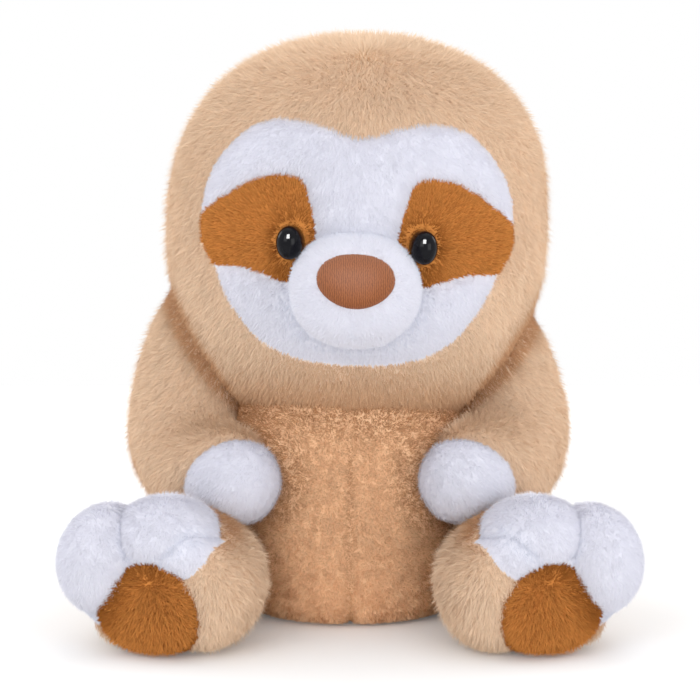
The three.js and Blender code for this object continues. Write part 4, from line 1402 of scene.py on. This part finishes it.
class PLUSH_OT_arms(bpy.types.Operator):
    """Sew the sleeves and hands"""

    bl_idname = "plush.arms"
    bl_label = "Arms"

    def execute(self, context):
        sizes = context.scene.plush_pile
        for word, side in SIDES:
            arm = f"arm_{word}"
            flow = brushed_along(FORMS[arm])
            hand_test, = SEAMS[arm]
            sleeve = long_pile(sizes.tan_length, flow, crease=7 * MM)
            hand = white_pile(sizes.white_length, flow)
            sew(f"sleeve_{word}", arm, outside(hand_test), "tan", sleeve, 30 + side)
            sew(f"hand_{word}", arm, hand_test, "white", hand, 33 + side)
        return {"FINISHED"}


class PLUSH_OT_legs(bpy.types.Operator):
    """Sew the legs, toes and soles"""

    bl_idname = "plush.legs"
    bl_label = "Legs"

    def execute(self, context):
        sizes = context.scene.plush_pile
        for word, side in SIDES:
            leg = f"leg_{word}"
            pad_test, *toe_tests = SEAMS[leg]
            forward, upward = SOLE_WHORL
            whorl = Vector((side * SOLE_OUT, -SOLE_REACH - forward, PAD_Z + upward))
            cover = long_pile(sizes.tan_length, brushed_down, lean=1.1)
            sole = Pile(
                sizes.sole_length, brushed_from(whorl), lean=0.95, spread=0.25, tuft=0.8, tuft_size=2.5 * MM,
                width=1.3, folds=along_seams([pad_test], 0.5),
            )
            white = white_pile(sizes.white_length, brushed_down, spread=0.25, tuft=0.12, crease=5 * MM)
            sew(f"leg_cover_{word}", leg, outside(pad_test, *toe_tests), "tan", cover, 40 + side)
            sew(f"sole_pad_{word}", leg, pad_test, "brown", sole, 43 + side)
            for seed, (name, toe_test) in enumerate(zip(TOES, toe_tests), 46):
                toe = f"{name}_{word}"
                sew(toe, toe, everywhere, "white", white, seed * 2 + side)
                panel = Panel(leg, toe_test)
                laid(f"{toe}_edge", panel, "white")
                grow(f"{toe}_edge", panel, white, "white", seed * 2 + 9 + side)
        return {"FINISHED"}


class PLUSH_OT_stuffing(bpy.types.Operator):
    """Give the hidden stuffing, pellets and washers their materials"""

    bl_idname = "plush.stuffing"
    bl_label = "Stuffing"

    def execute(self, context):
        for word, material in {
            "stuffing": hidden_material("stuffing_fibre", (0.85, 0.85, 0.84), 420),
            "pellet": hidden_material("pellet_cloth", (0.75, 0.7, 0.6), 300),
            "washer": hidden_material("washer_plastic", (0.75, 0.73, 0.7), 90),
        }.items():
            for name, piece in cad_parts.items():
                if word in name:
                    piece.data.materials.clear()
                    piece.data.materials.append(material)
        return {"FINISHED"}


class PLUSH_OT_stage(bpy.types.Operator):
    """Lay the floor, set the lamps and aim the camera"""

    bl_idname = "plush.stage"
    bl_label = "Stage"
    floor_size: FloatProperty(name="Floor", description="Half width of the floor", default=0.75, unit="LENGTH")

    def execute(self, context):
        scene = context.scene
        scene.view_settings.view_transform = "Standard"
        self.floor()
        self.sky(scene)
        middle = Vector((0, 0, CAMERA_AIM_Z))
        for name, place, size, watts in LAMPS:
            light = bpy.data.lights.new(name, "AREA")
            light.energy = watts
            light.size = size
            self.aimed(name, light, place, middle - Vector(place)).visible_diffuse = name != "window"
        data = bpy.data.cameras.new("camera")
        data.sensor_width = SENSOR_WIDTH
        data.lens = SENSOR_WIDTH / 2 / math.tan(CAMERA_ANGLE / 2)
        back = Vector((0, -math.cos(CAMERA_ELEVATION), math.sin(CAMERA_ELEVATION)))
        scene.camera = self.aimed("camera", data, middle + back * CAMERA_DISTANCE, -back)
        return {"FINISHED"}

    @staticmethod
    def aimed(name, data, place, aim):
        """A lamp or camera that looks towards the toy's middle."""
        made = new_object(name, data)
        made.location = place
        made.rotation_euler = aim.to_track_quat("-Z", "Y").to_euler()
        return made

    def floor(self):
        """The floor keeps its shadow and fades into the white background."""
        half = self.floor_size
        corners = np.array([(-half, -half, 0), (half, -half, 0), (half, half, 0), (-half, half, 0)])
        material, tree, shader = fresh_material("floor")
        wire(tree, shader, {"Base Color": (*colour_of("floor"), 1), "Roughness": 0.9, "Specular IOR Level": 0})
        plain = shader.outputs["BSDF"]
        added = node(tree, "AddShader", {0: plain, 1: node(tree, "Emission", {"Strength": 0.08})})
        seen = node(tree, "LightPath", output="Is Camera Ray")
        wire(tree, tree.nodes["Material Output"], {"Surface": node(tree, "MixShader", {0: seen, 1: plain, 2: added})})
        floor = new_object("floor", new_mesh("floor", corners, np.array([[0, 1, 2, 3]])))
        floor.data.materials.append(material)

    @staticmethod
    def sky(scene):
        """White to the camera and in reflections, a little less bright to the toy."""
        scene.world = bpy.data.worlds.new("studio")
        scene.world.use_nodes = True
        tree = scene.world.node_tree
        light = tree.nodes["Background"]
        wire(tree, light, {"Color": (1, 1, 1, 1), "Strength": 0.95})
        white = node(tree, "Background", {"Color": (1, 1, 1, 1), "Strength": 1})
        camera, glossy, through = (
            node(tree, "LightPath", output=f"Is {kind} Ray") for kind in ("Camera", "Glossy", "Transmission")
        )
        seen = node(tree, "Math", {0: camera, 1: glossy}, operation="MAXIMUM")
        seen = node(tree, "Math", {0: seen, 1: through}, operation="MAXIMUM")
        mixed = node(tree, "MixShader", {0: seen, 1: light.outputs["Background"], 2: white})
        wire(tree, tree.nodes["World Output"], {"Surface": mixed})


class PLUSH_PT_panel(bpy.types.Panel):
    """Lists the sizes, the colours and the steps"""

    bl_idname = "PLUSH_PT_panel"
    bl_label = "Plush Sloth"
    bl_space_type = "VIEW_3D"
    bl_region_type = "UI"
    bl_category = "Plush Sloth"

    def draw(self, context):
        for group in GROUPS:
            settings = getattr(context.scene, group)
            box = self.layout.box()
            for name in settings.__annotations__:
                box.prop(settings, name)
        for operator in OPERATORS:
            self.layout.operator(operator.bl_idname)


OPERATORS = (
    PLUSH_OT_head, PLUSH_OT_muzzle, PLUSH_OT_nose, PLUSH_OT_eyes, PLUSH_OT_torso, PLUSH_OT_arms, PLUSH_OT_legs,
    PLUSH_OT_stuffing, PLUSH_OT_stage,
)
GROUPS = {"plush_covers": CoverSizes, "plush_pile": PileSizes, "plush_colours": PlushColours}
CLASSES = (*GROUPS.values(), *OPERATORS, PLUSH_PT_panel)


def register():
    for made in CLASSES:
        bpy.utils.register_class(made)
    for name, group in GROUPS.items():
        setattr(bpy.types.Scene, name, PointerProperty(type=group))


def unregister():
    for name in GROUPS:
        delattr(bpy.types.Scene, name)
    for made in reversed(CLASSES):
        bpy.utils.unregister_class(made)


def main():
    register()
    for operator in OPERATORS:
        group, name = operator.bl_idname.split(".")
        getattr(getattr(bpy.ops, group), name)()


if __name__ == "__main__":
    main()
